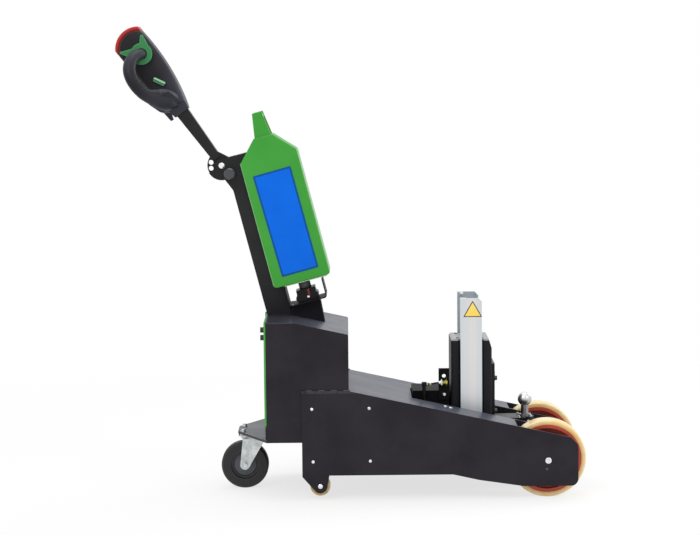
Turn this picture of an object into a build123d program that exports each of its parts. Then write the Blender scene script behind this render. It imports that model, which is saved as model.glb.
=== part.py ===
from build123d import *
import os
from math import cos, radians, sin

os.makedirs("parts", exist_ok=True)

# Walk-behind electric tug, in millimetres. X runs forward from the tiller to the hitch, Y to the left, Z up.
# The origin is on the floor, at the middle of the machine's box.

# Sides of the machine: name, sign of Y
sides = [("left", 1), ("right", -1)]

# Chassis
chassis_width = 392
plate = 6
rear_x = -126
body_front_x = -5
nose_length = 77
nose_flat = 19
plate_top_z = 285
plate_nose_z = 160
belly_z = 66
skid_z = 34
skid_reach = 63
skid_ramp_x = 329
skid_ramp_z = 51
belly_end_x = 262
nose_radius = 18
half_width = chassis_width / 2
inner_half = half_width - plate
deck_sheet = 4
slot_rear_x = 157
slot_half = 85
deck_reach = 79

# Drive wheels, each in the middle of its bay between an inner and a side plate
drive_x = 507
front_x = drive_x + nose_length
plate_nose_x = front_x - nose_flat
skid_rear_x = drive_x - skid_reach
deck_end_x = drive_x - deck_reach
slope = (plate_top_z - plate_nose_z) / (plate_nose_x - body_front_x)
drive_radius = 100
drive_width = 50
drive_tread = 12
drive_y = (slot_half + plate + inner_half) / 2
rim_radius = drive_radius - drive_tread
rim_wall = 9
rim_recess = 14
hub_radius = 30
axle_radius = 12
axle_stub_radius = 8
running = 0.05
washer = 6
wheel_gap = 2

# Castor
castor_radius = 62.5
castor_width = 36
castor_tread = 21
castor_rim = 3.5
castor_trail = 28
swivel_x = -254
fork_sheet = 3
fork_play = 3
fork_eye = 12.5
crown_rear = 33
crown_front = 25
race_height = 11
race_radius = 27
race_gap = 0.5
kingpin_radius = 6
castor_plate_thickness = 3
castor_plate_length = 86
castor_plate_width = 104
castor_spacer = 4
castor_spacer_radius = 9
castor_bolt_x = 60
castor_bolt_y = 80
castor_axle_radius = 5
castor_boss_radius = 14

# Anti-tip rollers
roller_x = -80
roller_z = 38
roller_radius = 26
roller_width = 30
lobe_radius = 18
lobe_flare = 5
roller_pin = 8
roller_gap = 2

# Housing
housing_rear_x = -217
housing_floor_z = 151
housing_top_z = 462
housing_flat_x = -150
housing_front_z = 430
housing_half = inner_half
sheet = 3
bend = 4
panel = 4.5
panel_floor_z = 190
panel_corner = 10
panel_knob_radius = 7
panel_knob_length = 9
panel_knob_edge = 20
carrier_plate = 6
carrier_tip_x = -298
carrier_tip_half = 40
tip_hole_radius = 5
tip_hole_edge = 10

# Column and the cheeks at its head
tilt = 14.5
column_depth = 62
column_half = 25
column_wall = 4
column_length = 428
pivot_drop = 16
pivot_along = column_length - pivot_drop
pivot_across = -12
cheek = 6
cheek_radius = 16
cheek_length = 87
cheek_foot = column_length - cheek_length
cheek_guard_angle = 105
pivot_pin_radius = 8
pivot_pin_end = 3
cheek_play = 2
plunger_radius = 6
knob_angle = -59.5
knob_radius = 15
knob_length = 16
knob_stem = 6

# Index disc of the tiller: holes every thirty degrees, and a flat where it faces the column
disc_radius = 38.5
disc_half = 8
disc_gap = 5.5
boss_radius = 20
boss_half = column_half - cheek - cheek_play
index_radius = 30
index_step = 30
index_count = 7
index_play = 0.5
flat_angle = 26.7
flat_distance = 27

# Tiller arm and head
tiller_lean = 36
arm_start = 22
arm_half = 11.5
arm_head_half = 17
arm_thickness = 28
arm_end = 172
head_rise = 42
head_swell = 44.5
head_fall = 43
head_belly = 38
head_half = 42
head_round = 11
pod_middle = 303
tail_rise = 20
tail_fall = 22
tail_half = 22
tail_length = 28
pad_thickness = 11
pad_half = 38
pad_low = 402
pad_crown = 430
pad_crown_across = 4
pad_high = 419
shoulder_half = 108
shoulder_length = 90
shoulder_edge = 3
hook_half = 9
grip_radius = 14.5
grip_reach = 120
grip_drop = 33.5
throttle_radius = 28
throttle_width = 18
throttle_along = 355
throttle_across = 9
horn_tip = 3
rocker_length = 33
rocker_width = 11
rocker_height = 7
rocker_round = 4
rocker_along = 271
rocker_across = 2
rocker_turn = -62

# Battery
battery_rear = 37
battery_width = 153.5
battery_half = 55
battery_foot = 66
battery_shoulder = 403
battery_neck = 458
battery_top = 522
battery_edge = 3
battery_corner = 10
neck_rear = 88
neck_front = 138
handle_rear = 101
handle_front = 126
ear = 10
ear_inset = 5
battery_gap = 0.5

# Tray under the battery
tray_sheet = 3
tray_bend = 8
tray_half = 52
tray_along = 8
tray_front = 166
tray_lip = 59
pedestal_half = 27
pedestal_front = 146
pedestal_toe = 10
socket_radius = 16
socket_along = 43
socket_across = 115
socket_width = 61
socket_lobe = 10

# Guide rails and lift column
rail_x = 316
rail_width = 56
rail_depth = 20
rail_sheet = 6
rail_foot_z = 100
rail_top_z = 509
rail_clip = 9
lift_rear_x = 264
lift_front_x = 371
lift_half = 71
lift_foot_z = 170
lift_top_z = 400
lift_cap = 4
lift_corner = 10
lift_chamfer = 5
lift_slope_run = 8
lift_slope_drop = 26
groove_gap = 5
guide_play = 0.5
guide_stub = 1
lift_core_half = slot_half - rail_depth - groove_gap
guide_radius = rail_width / 2 - rail_sheet - guide_play
guide_width = rail_depth - rail_sheet
front_plate = 8
front_plate_half = 56
front_plate_foot_z = 150
front_plate_top_z = 333
arm_half_width = 38
arm_top_z = 185
arm_sheet = 8
hitch_x = 462
ball_radius = 18.5
ball_z = 230
neck_radius = 10
neck_foot_radius = 16
neck_foot = 5
arm_tip = 24

# Mast base, sensor and its leads
base_rear_x = 163
base_front_x = 258
base_half = 62
base_top_z = 264
base_floor_z = 196
bracket_rear_x = 231
bracket_width = 28
bracket_sheet = 5
bracket_top_z = 323
bracket_foot_z = 240
bracket_hole_radius = 5
bracket_hole_z = 303
sensor_radius = 6
sensor_z = 286
sensor_rear_x = 234
sensor_length = 20
sensor_tail = 3
sensor_tail_radius = 4
clamp_length = 7
clamp_wall = 3
lead_radius = 2
cable_radius = 2.5
plug_x = 192.5
plug_radius = 4.5
plug_head = 12
plug_head_height = 9
plug_top_z = 288
plug_foot_z = 257
plug_stub_z = 283
plug_stub_x = 204
plug_stub_radius = 4
gland_z = 211
gland_radius = 6.5
gland_length = 5

# Drive unit
gear_radius = 42
motor_radius = 38
motor_rear_x = 290
motor_flange = 10


def node_file(node):
    return f"parts/{node}.step"


def deck_z(x):
    return plate_top_z - max(x - body_front_x, 0) * slope


# Side plates: steel plate with the roller's lobe at the rear and the skid under the drive wheels
chassis_outline = [
    (rear_x, plate_top_z),
    (body_front_x, plate_top_z),
    (plate_nose_x, plate_nose_z),
    (front_x, plate_nose_z - (front_x - plate_nose_x)),
    (front_x, skid_z),
    (skid_rear_x, skid_z),
    (skid_ramp_x, skid_ramp_z),
    (belly_end_x, belly_z),
    (rear_x, belly_z),
]
lobe_front_x = roller_x + lobe_radius + lobe_flare
with BuildSketch() as lobe_profile:
    with Locations((roller_x, roller_z)):
        Circle(lobe_radius)
    with Locations(((rear_x + lobe_front_x) / 2, belly_z)):
        Rectangle(lobe_front_x - rear_x, plate)
    make_hull()

for side, sign in sides:
    with BuildPart() as side_plate:
        with BuildSketch(Plane.XZ.offset(-sign * inner_half)) as outline:
            Polygon(*chassis_outline, align=None)
            fillet(outline.vertices().group_by(Axis.X)[-1], radius=nose_radius)
            add(lobe_profile.sketch_local)
        extrude(amount=-sign * plate)
        with Locations(Plane.XZ.offset(-sign * inner_half)):
            with Locations((drive_x, drive_radius)):
                Hole(axle_stub_radius)
        with BuildSketch(Plane.XZ.offset(-sign * inner_half)):
            with Locations((roller_x, roller_z)):
                Circle(roller_pin)
        extrude(amount=sign * (roller_width + 2 * roller_gap))
    side_plate.part.label = f"side_plate_{side}"
    export_step(side_plate.part, node_file(side_plate.part.label))

    with BuildPart() as inner_plate:
        with BuildSketch(Plane.XZ.offset(-sign * slot_half)) as outline:
            Polygon(*chassis_outline, align=None)
            fillet(outline.vertices().group_by(Axis.X)[-1], radius=nose_radius)
            split(bisect_by=Plane.YZ.offset(slot_rear_x), keep=Keep.TOP)
        extrude(amount=-sign * plate)
        with Locations(Plane.XZ.offset(-sign * slot_half)):
            with Locations((drive_x, drive_radius)):
                Hole(axle_radius)
    inner_plate.part.label = f"inner_plate_{side}"
    export_step(inner_plate.part, node_file(inner_plate.part.label))

# Deck: a sheet that follows the plates' top edges, with the slot for the mast
with BuildPart() as deck:
    with BuildSketch(Plane.XZ.offset(-inner_half)):
        Polygon(
            (body_front_x, deck_z(body_front_x)),
            (deck_end_x, deck_z(deck_end_x)),
            (deck_end_x, deck_z(deck_end_x) - deck_sheet),
            (body_front_x, deck_z(body_front_x) - deck_sheet),
            align=None,
        )
    extrude(amount=2 * inner_half)
    with BuildSketch(Plane.XY):
        with Locations(((slot_rear_x + front_x) / 2, 0)):
            Rectangle(front_x - slot_rear_x, 2 * (slot_half + plate))
    extrude(amount=plate_top_z, mode=Mode.SUBTRACT)
deck.part.label = "deck"
export_step(deck.part, "parts/deck.step")

# Belly pan: closes the chassis below and behind
with BuildPart() as belly_pan:
    with BuildSketch(Plane.XZ.offset(-inner_half)):
        Polygon(
            (rear_x, housing_floor_z),
            (rear_x + sheet, housing_floor_z),
            (rear_x + sheet, belly_z + sheet),
            (slot_rear_x, belly_z + sheet),
            (slot_rear_x, belly_z),
            (rear_x, belly_z),
            align=None,
        )
    extrude(amount=2 * inner_half)
    with BuildSketch(Plane.XY):
        for side, sign in sides:
            with Locations((roller_x, sign * (inner_half - roller_width / 2 - roller_gap))):
                Rectangle(3 * roller_radius, roller_width + 2 * roller_gap + plate)
    extrude(amount=belly_z + sheet, mode=Mode.SUBTRACT)
belly_pan.part.label = "belly_pan"
export_step(belly_pan.part, "parts/belly_pan.step")

# Bulkhead: closes the chassis behind the mast, with the gland for the sensor's cable
sensor_y = -(base_half + bracket_sheet + sensor_radius)
with BuildPart() as bulkhead:
    with BuildSketch(Plane.YZ.offset(slot_rear_x)):
        with Locations((0, (belly_z + deck_z(slot_rear_x + sheet)) / 2)):
            Rectangle(2 * slot_half, deck_z(slot_rear_x + sheet) - belly_z)
    extrude(amount=sheet)
    with BuildSketch(Plane.YZ.offset(slot_rear_x + sheet)):
        with Locations((sensor_y, gland_z)):
            Circle(gland_radius)
    extrude(amount=gland_length)
bulkhead.part.label = "bulkhead"
export_step(bulkhead.part, "parts/bulkhead.step")

# Housing: folded sheet, open at the rear behind its panel
with BuildPart() as housing:
    with BuildSketch(Plane.XZ.offset(-housing_half)):
        Polygon(
            (housing_rear_x, housing_floor_z),
            (body_front_x, housing_floor_z),
            (body_front_x, housing_front_z),
            (housing_flat_x, housing_top_z),
            (housing_rear_x, housing_top_z),
            align=None,
        )
    extrude(amount=2 * housing_half)
    fillet(housing.edges().filter_by(Axis.Y).group_by(Axis.X)[-1].sort_by(Axis.Z)[-1], radius=bend)
    fillet(housing.edges().filter_by(Axis.X).group_by(Axis.Z)[-1], radius=bend)
    offset(amount=-sheet, openings=housing.faces().sort_by(Axis.X)[0])
housing.part.label = "housing"
export_step(housing.part, "parts/housing.step")

# Rear panel: pressed sheet with two turn knobs on each side
panel_knob_y = housing_half - panel_knob_edge
with BuildPart() as rear_panel:
    with BuildSketch(Plane.YZ.offset(housing_rear_x)):
        with Locations((0, (panel_floor_z + housing_top_z) / 2)):
            RectangleRounded(2 * housing_half, housing_top_z - panel_floor_z, panel_corner)
    extrude(amount=-panel)
    with BuildSketch(Plane.YZ.offset(housing_rear_x - panel)):
        for side, sign in sides:
            for row in (1, 2):
                with Locations((sign * panel_knob_y, housing_top_z - row * panel_knob_edge)):
                    Circle(panel_knob_radius)
    extrude(amount=-panel_knob_length)
rear_panel.part.label = "rear_panel"
export_step(rear_panel.part, "parts/rear_panel.step")

# Castor carrier: plate that tapers back from the housing's rear edge, with a flange up to the rear panel
with BuildPart() as castor_carrier:
    with BuildSketch(Plane.XY.offset(housing_floor_z)):
        Polygon(
            (housing_rear_x, housing_half),
            (carrier_tip_x, carrier_tip_half),
            (carrier_tip_x, -carrier_tip_half),
            (housing_rear_x, -housing_half),
            align=None,
        )
        with Locations((carrier_tip_x + tip_hole_edge, 0)):
            Circle(tip_hole_radius, mode=Mode.SUBTRACT)
    extrude(amount=carrier_plate)
    with BuildSketch(Plane.XY.offset(housing_floor_z + carrier_plate)):
        with Locations((housing_rear_x, 0)):
            Rectangle(sheet, 2 * (housing_half - panel_corner), align=(Align.MAX, Align.CENTER))
    extrude(amount=panel_floor_z - housing_floor_z - carrier_plate - sheet)
castor_carrier.part.label = "castor_carrier"
export_step(castor_carrier.part, "parts/castor_carrier.step")

# Castor: top plate with its spacers, race and kingpin
castor_plate_z = housing_floor_z - castor_spacer
race_floor_z = castor_plate_z - castor_plate_thickness - race_height
crown_z = race_floor_z - race_gap
with BuildPart() as castor_mount:
    with BuildSketch(Plane.XY.offset(castor_plate_z)):
        with Locations((swivel_x, 0)):
            RectangleRounded(castor_plate_length, castor_plate_width, castor_spacer_radius)
    extrude(amount=-castor_plate_thickness)
    with BuildSketch(Plane.XY.offset(castor_plate_z)):
        with Locations((swivel_x, 0)):
            with GridLocations(castor_bolt_x, castor_bolt_y, 2, 2):
                Circle(castor_spacer_radius)
    extrude(amount=castor_spacer)
    with BuildSketch(Plane.XY.offset(castor_plate_z - castor_plate_thickness)):
        with Locations((swivel_x, 0)):
            Circle(race_radius)
    extrude(amount=-race_height)
    with BuildSketch(Plane.XY.offset(race_floor_z)):
        with Locations((swivel_x, 0)):
            Circle(kingpin_radius)
    extrude(amount=-(race_gap + fork_sheet))
castor_mount.part.label = "castor_mount"
export_step(castor_mount.part, "parts/castor_mount.step")

# Castor fork: two legs pressed from one sheet, joined by the crown under the race
castor_x = swivel_x - castor_trail
fork_inner = castor_width / 2 + fork_play
crown_x = swivel_x + (crown_front - crown_rear) / 2
with BuildSketch() as fork_profile:
    with Locations((castor_x, castor_radius)):
        Circle(fork_eye)
    with Locations((crown_x, crown_z - fork_sheet / 2)):
        Rectangle(crown_front + crown_rear, fork_sheet)
    make_hull()
with BuildPart() as castor_fork:
    for side, sign in sides:
        with BuildSketch(Plane.XZ.offset(-sign * fork_inner)):
            add(fork_profile.sketch_local)
            with Locations((castor_x, castor_radius)):
                Circle(castor_axle_radius + running, mode=Mode.SUBTRACT)
        extrude(amount=-sign * fork_sheet)
    with BuildSketch(Plane.XY.offset(crown_z)):
        with Locations((crown_x, 0)):
            Rectangle(crown_front + crown_rear, 2 * (fork_inner + fork_sheet))
        with Locations((swivel_x, 0)):
            Circle(kingpin_radius + running, mode=Mode.SUBTRACT)
    extrude(amount=-fork_sheet)
castor_fork.part.label = "castor_fork"
export_step(castor_fork.part, "parts/castor_fork.step")

with BuildPart() as castor_axle:
    with BuildSketch(Plane.XZ.offset(-(fork_inner + 2 * fork_sheet))):
        with Locations((castor_x, castor_radius)):
            Circle(castor_axle_radius)
    extrude(amount=2 * (fork_inner + 2 * fork_sheet))
castor_axle.part.label = "castor_axle"
export_step(castor_axle.part, "parts/castor_axle.step")

# Castor wheel: moulded hub, dished on both faces, and its tread
castor_hub_radius = castor_radius - castor_tread
with BuildPart() as castor_hub:
    with BuildSketch(Plane.XZ.offset(-castor_width / 2)):
        with Locations((castor_x, castor_radius)):
            Circle(castor_hub_radius)
            Circle(castor_axle_radius + running, mode=Mode.SUBTRACT)
    extrude(amount=castor_width)
    for side, sign in sides:
        with BuildSketch(Plane.XZ.offset(-sign * castor_width / 2)):
            with Locations((castor_x, castor_radius)):
                Circle(castor_hub_radius - castor_rim)
                Circle(castor_boss_radius, mode=Mode.SUBTRACT)
        extrude(amount=sign * castor_width / 4, mode=Mode.SUBTRACT)
castor_hub.part.label = "castor_hub"
export_step(castor_hub.part, "parts/castor_hub.step")

with BuildPart() as castor_tyre:
    with BuildSketch(Plane.XZ.offset(-castor_width / 2)):
        with Locations((castor_x, castor_radius)):
            Circle(castor_radius)
            Circle(castor_hub_radius, mode=Mode.SUBTRACT)
    extrude(amount=castor_width)
    shoulders = castor_tyre.edges().filter_by(GeomType.CIRCLE).sort_by(SortBy.RADIUS)[-2:]
    chamfer(shoulders, length=castor_tread / 4)
castor_tyre.part.label = "castor_tyre"
export_step(castor_tyre.part, "parts/castor_tyre.step")

# Anti-tip rollers on pins welded to the side plates
for side, sign in sides:
    with BuildPart() as roller:
        with BuildSketch(Plane.XZ.offset(-sign * (inner_half - roller_gap))):
            with Locations((roller_x, roller_z)):
                Circle(roller_radius)
                Circle(roller_pin + running, mode=Mode.SUBTRACT)
        extrude(amount=sign * roller_width)
        shoulders = roller.edges().filter_by(GeomType.CIRCLE).sort_by(SortBy.RADIUS)[-2:]
        chamfer(shoulders, length=roller_gap)
    roller.part.label = f"roller_{side}"
    export_step(roller.part, node_file(roller.part.label))

# Drive wheels: cast hub with a recessed web, and a moulded tread
for side, sign in sides:
    with BuildPart() as drive_hub:
        with BuildSketch(Plane.XZ.offset(-sign * drive_y)):
            with Locations((drive_x, drive_radius)):
                Circle(rim_radius)
                Circle(axle_radius + running, mode=Mode.SUBTRACT)
        extrude(amount=drive_width / 2, both=True)
        for face in (1, -1):
            with BuildSketch(Plane.XZ.offset(-sign * drive_y + face * drive_width / 2)):
                with Locations((drive_x, drive_radius)):
                    Circle(rim_radius - rim_wall)
                    Circle(hub_radius, mode=Mode.SUBTRACT)
            extrude(amount=-face * rim_recess, mode=Mode.SUBTRACT)
    drive_hub.part.label = f"drive_hub_{side}"
    export_step(drive_hub.part, node_file(drive_hub.part.label))

    with BuildPart() as drive_tyre:
        with BuildSketch(Plane.XZ.offset(-sign * drive_y)):
            with Locations((drive_x, drive_radius)):
                Circle(drive_radius)
                Circle(rim_radius, mode=Mode.SUBTRACT)
        extrude(amount=drive_width / 2, both=True)
        shoulders = drive_tyre.edges().filter_by(GeomType.CIRCLE).sort_by(SortBy.RADIUS)[-2:]
        chamfer(shoulders, length=drive_tread / 4)
    drive_tyre.part.label = f"drive_tyre_{side}"
    export_step(drive_tyre.part, node_file(drive_tyre.part.label))

# Drive axle, shouldered inside the side plates, and the spacers that hold each wheel in its bay.
# Spacer columns are the near and the far distance from the middle
spacers = [
    (slot_half + plate, drive_y - drive_width / 2 - wheel_gap),
    (drive_y + drive_width / 2 + wheel_gap, inner_half),
]
with BuildPart() as drive_axle:
    for radius, reach in ((axle_radius, inner_half), (axle_stub_radius, half_width)):
        with BuildSketch(Plane.XZ.offset(-reach)):
            with Locations((drive_x, drive_radius)):
                Circle(radius)
        extrude(amount=2 * reach)
    for side, sign in sides:
        for near, far in spacers:
            with BuildSketch(Plane.XZ.offset(-sign * near)):
                with Locations((drive_x, drive_radius)):
                    Circle(axle_radius + washer)
            extrude(amount=-sign * (far - near))
drive_axle.part.label = "drive_axle"
export_step(drive_axle.part, "parts/drive_axle.step")

# Drive unit: gearbox across the slot and the motor behind it, on its flange
with BuildPart() as drive_unit:
    with BuildSketch(Plane.XZ.offset(-slot_half)):
        with Locations((drive_x, drive_radius)):
            Circle(gear_radius)
    extrude(amount=2 * slot_half)
    with BuildSketch(Plane.YZ.offset(motor_rear_x)):
        with Locations((0, drive_radius)):
            Circle(motor_radius)
    extrude(amount=drive_x - motor_rear_x)
    with BuildSketch(Plane.YZ.offset(drive_x - gear_radius - motor_flange)):
        with Locations((0, drive_radius)):
            RectangleRounded(2 * gear_radius, 2 * gear_radius, motor_flange)
    extrude(amount=motor_flange)
    with BuildSketch(Plane.XZ.offset(-slot_half)):
        with Locations((drive_x, drive_radius)):
            Circle(axle_radius)
    extrude(amount=2 * slot_half, mode=Mode.SUBTRACT)
drive_unit.part.label = "drive_unit"
export_step(drive_unit.part, "parts/drive_unit.step")

# Column: rectangular tube leaning back, with two cheeks that hold the tiller's pivot
column_plane = Plane(
    origin=(housing_rear_x, 0, housing_top_z),
    x_dir=(cos(radians(tilt)), 0, sin(radians(tilt))),
    z_dir=(0, -1, 0),
)
clear_radius = disc_radius + disc_gap
knob_across = pivot_across + index_radius * cos(radians(knob_angle))
knob_along = pivot_along + index_radius * sin(radians(knob_angle))
with BuildPart() as column:
    with BuildSketch(column_plane):
        with Locations((column_depth / 2, (column_length - column_depth / 2) / 2)):
            Rectangle(column_depth, column_length + column_depth / 2)
    extrude(amount=column_half, both=True)
    with BuildSketch(column_plane):
        with Locations((column_depth / 2, (column_length - column_wall - column_depth) / 2)):
            Rectangle(column_depth - 2 * column_wall, column_length - column_wall + column_depth)
    extrude(amount=column_half - column_wall, both=True, mode=Mode.SUBTRACT)
    with BuildSketch(column_plane):
        with Locations((pivot_across, pivot_along)):
            Circle(cheek_radius)
        with Locations((column_depth / 2, (column_length + cheek_foot) / 2)):
            Rectangle(column_depth, column_length - cheek_foot)
        make_hull()
    extrude(amount=column_half, both=True)
    with BuildSketch(column_plane):
        with Locations((pivot_across, pivot_along)):
            Circle(disc_radius)
        with Locations(Location((pivot_across, pivot_along, 0), (0, 0, cheek_guard_angle))):
            Rectangle(clear_radius, 2 * clear_radius, align=(Align.MIN, Align.CENTER), mode=Mode.SUBTRACT)
    extrude(amount=column_half, both=True)
    with BuildSketch(column_plane):
        with Locations((pivot_across, pivot_along)):
            Circle(clear_radius)
        with Locations((column_depth / 2, (column_length - column_wall + cheek_foot) / 2)):
            Rectangle(column_depth - 2 * column_wall, column_length - column_wall - cheek_foot)
    extrude(amount=column_half - cheek, both=True, mode=Mode.SUBTRACT)
    with BuildSketch(column_plane):
        with Locations((pivot_across, pivot_along)):
            Circle(pivot_pin_radius)
    extrude(amount=column_half, both=True, mode=Mode.SUBTRACT)
    with BuildSketch(column_plane.offset(column_half)):
        with Locations((knob_across, knob_along)):
            Circle(plunger_radius + running)
    extrude(amount=-cheek, mode=Mode.SUBTRACT)
    split(bisect_by=Plane.XY.offset(housing_top_z), keep=Keep.TOP)
column.part.label = "column"
export_step(column.part, "parts/column.step")

with BuildPart() as tiller_pin:
    with BuildSketch(column_plane):
        with Locations((pivot_across, pivot_along)):
            Circle(pivot_pin_radius)
    extrude(amount=column_half + pivot_pin_end, both=True)
tiller_pin.part.label = "tiller_pin"
export_step(tiller_pin.part, "parts/tiller_pin.step")

# Index knob: a spring plunger, drawn back in the right cheek. Columns are radius, start and length outward
knob_steps = [
    (plunger_radius, -cheek, cheek),
    (knob_radius / 2, 0, knob_stem),
    (knob_radius, knob_stem, knob_length),
]
with BuildPart() as index_knob:
    for radius, start, length in knob_steps:
        with BuildSketch(column_plane.offset(column_half + start)):
            with Locations((knob_across, knob_along)):
                Circle(radius)
        extrude(amount=length)
    chamfer(index_knob.edges().filter_by(GeomType.CIRCLE).sort_by(Axis.Y)[0], length=knob_stem / 2)
index_knob.part.label = "index_knob"
export_step(index_knob.part, "parts/index_knob.step")

# Battery tray: sheet bent to a channel, one flange on the column and the lip in front of the battery
tray_depth = tray_front - column_depth
with BuildPart() as battery_tray:
    with BuildSketch(column_plane) as tray_profile:
        with Locations(((column_depth + tray_front) / 2, (tray_along + tray_lip) / 2)):
            Rectangle(tray_depth, tray_lip - tray_along)
        fillet(tray_profile.vertices().group_by(Axis.Y)[0], radius=tray_bend)
    extrude(amount=tray_half, both=True)
    with BuildSketch(column_plane) as tray_hollow:
        with Locations(((column_depth + tray_front) / 2, (tray_along + tray_sheet + tray_lip) / 2)):
            Rectangle(tray_depth - 2 * tray_sheet, tray_lip - tray_along - tray_sheet)
        fillet(tray_hollow.vertices().group_by(Axis.Y)[0], radius=tray_bend - tray_sheet)
    extrude(amount=tray_half, both=True, mode=Mode.SUBTRACT)
battery_tray.part.label = "battery_tray"
export_step(battery_tray.part, "parts/battery_tray.step")


def on_column(across, along):
    point = column_plane.from_local_coords((across, along, 0))
    return point.X, point.Z


# Tray pedestal: block from the roof to the tray, its front face flared at the toe
roof_slope = (housing_top_z - housing_front_z) / (body_front_x - housing_flat_x)
toe_x = on_column(pedestal_front, 0)[0] + pedestal_toe
toe_z = housing_top_z - (toe_x - housing_flat_x) * roof_slope
column_foot_x = housing_rear_x + column_depth / cos(radians(tilt))
with BuildPart() as tray_pedestal:
    with BuildSketch(Plane.XZ):
        Polygon(
            (column_foot_x, housing_top_z),
            (housing_flat_x, housing_top_z),
            (toe_x, toe_z),
            on_column(pedestal_front, tray_along),
            on_column(column_depth + tray_bend, tray_along),
            align=None,
        )
    extrude(amount=pedestal_half, both=True)
tray_pedestal.part.label = "tray_pedestal"
export_step(tray_pedestal.part, "parts/tray_pedestal.step")

# Battery socket: lobed body on the tray and the collar that enters the battery
tray_floor = tray_along + tray_sheet
lobe_offset = socket_width / 2 - socket_lobe
with BuildPart() as battery_socket:
    with BuildSketch(column_plane):
        with Locations((socket_across, (tray_floor + socket_along) / 2)):
            Rectangle(socket_width - socket_lobe, socket_along - tray_floor)
        for end in (-1, 1):
            with Locations((socket_across + end * lobe_offset, tray_floor + socket_lobe)):
                Circle(socket_lobe)
    extrude(amount=socket_width / 2, both=True)
    with BuildSketch(Plane(
        origin=column_plane.from_local_coords((socket_across, socket_along, 0)),
        x_dir=column_plane.x_dir,
        z_dir=column_plane.y_dir,
    )):
        Circle(socket_radius)
    extrude(amount=battery_foot - socket_along)
battery_socket.part.label = "battery_socket"
export_step(battery_socket.part, "parts/battery_socket.step")

# Battery case: straddles the column, with two ears at the top for its handle
battery_front = battery_rear + battery_width
with BuildPart() as battery_case:
    with BuildSketch(column_plane) as case_profile:
        Polygon(
            (battery_rear, battery_foot),
            (battery_rear, battery_shoulder),
            (neck_rear, battery_neck),
            (neck_front, battery_neck),
            (battery_front, battery_shoulder),
            (battery_front, battery_foot),
            align=None,
        )
        fillet(case_profile.vertices().group_by(Axis.Y)[0], radius=battery_corner)
    extrude(amount=battery_half, both=True)
    fillet(battery_case.faces().filter_by(Axis.Y).edges(), radius=battery_edge)
    for side, sign in sides:
        with BuildSketch(column_plane.offset(-sign * (battery_half - ear - ear_inset))):
            Polygon(
                (neck_rear + battery_edge, battery_neck),
                (handle_rear, battery_top),
                (handle_front, battery_top),
                (neck_front - battery_edge, battery_neck),
                align=None,
            )
        extrude(amount=-sign * ear)
    with BuildSketch(column_plane):
        with Locations(((battery_rear + column_depth + battery_gap) / 2, battery_neck / 2)):
            Rectangle(column_depth + battery_gap - battery_rear, battery_neck)
    extrude(amount=column_half + battery_gap, both=True, mode=Mode.SUBTRACT)
battery_case.part.label = "battery_case"
export_step(battery_case.part, "parts/battery_case.step")

handle_radius = (handle_front - handle_rear) / 2
with BuildPart() as battery_handle:
    with BuildSketch(column_plane):
        with Locations(((handle_rear + handle_front) / 2, battery_top - handle_radius)):
            Circle(handle_radius)
    extrude(amount=battery_half - ear - ear_inset, both=True)
battery_handle.part.label = "battery_handle"
export_step(battery_handle.part, "parts/battery_handle.step")

# Guide rails: channels that open towards each other, bolted to the inner plates
for side, sign in sides:
    with BuildPart() as guide_rail:
        with BuildSketch(Plane.XY.offset(rail_foot_z)):
            with Locations((rail_x, sign * (slot_half - rail_depth / 2))):
                Rectangle(rail_width, rail_depth)
            with Locations((rail_x, sign * (slot_half - rail_sheet - rail_depth / 2))):
                Rectangle(rail_width - 2 * rail_sheet, rail_depth, mode=Mode.SUBTRACT)
        extrude(amount=rail_top_z - rail_foot_z)
        front_corner = guide_rail.edges().filter_by(Axis.Y).group_by(Axis.Z)[-1].group_by(Axis.X)[-1]
        chamfer(front_corner, length=rail_clip)
    guide_rail.part.label = f"guide_rail_{side}"
    export_step(guide_rail.part, node_file(guide_rail.part.label))

# Lift column and its cap: body that runs between the rails, which stand in its side grooves
lift_middle_x = (lift_rear_x + lift_front_x) / 2
lift_levels = [
    ("lift_column", lift_foot_z, lift_top_z - lift_cap),
    ("lift_cap", lift_top_z - lift_cap, lift_top_z),
]
for node, foot_z, top_z in lift_levels:
    with BuildPart() as lift_part:
        with BuildSketch(Plane.XY.offset(foot_z)):
            with Locations((lift_middle_x, 0)):
                RectangleRounded(lift_front_x - lift_rear_x, 2 * lift_half, lift_corner)
            for side, sign in sides:
                with Locations((rail_x, sign * (lift_core_half + lift_half) / 2)):
                    Rectangle(rail_width + 2 * groove_gap, lift_half - lift_core_half, mode=Mode.SUBTRACT)
        extrude(amount=top_z - foot_z)
        with BuildSketch(Plane.XZ):
            Polygon(
                (lift_rear_x, lift_foot_z),
                (lift_rear_x, lift_top_z - lift_chamfer),
                (lift_rear_x + lift_chamfer, lift_top_z),
                (lift_front_x - lift_slope_run, lift_top_z),
                (lift_front_x, lift_top_z - lift_slope_drop),
                (lift_front_x, lift_foot_z),
                align=None,
            )
        extrude(amount=lift_half, both=True, mode=Mode.INTERSECT)
    lift_part.part.label = node
    export_step(lift_part.part, node_file(node))

# Guide rollers: two in each rail, on stubs from the lift column
with BuildPart() as guide_rollers:
    for side, sign in sides:
        for z in (lift_foot_z + 2 * guide_radius, lift_top_z - 2 * guide_radius):
            with BuildSketch(Plane.XZ.offset(-sign * lift_core_half)):
                with Locations((rail_x, z)):
                    Circle(guide_radius / 2)
            extrude(amount=-sign * guide_stub)
            with BuildSketch(Plane.XZ.offset(-sign * (lift_core_half + guide_stub))):
                with Locations((rail_x, z)):
                    Circle(guide_radius)
            extrude(amount=-sign * guide_width)
guide_rollers.part.label = "guide_rollers"
export_step(guide_rollers.part, "parts/guide_rollers.step")

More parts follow.
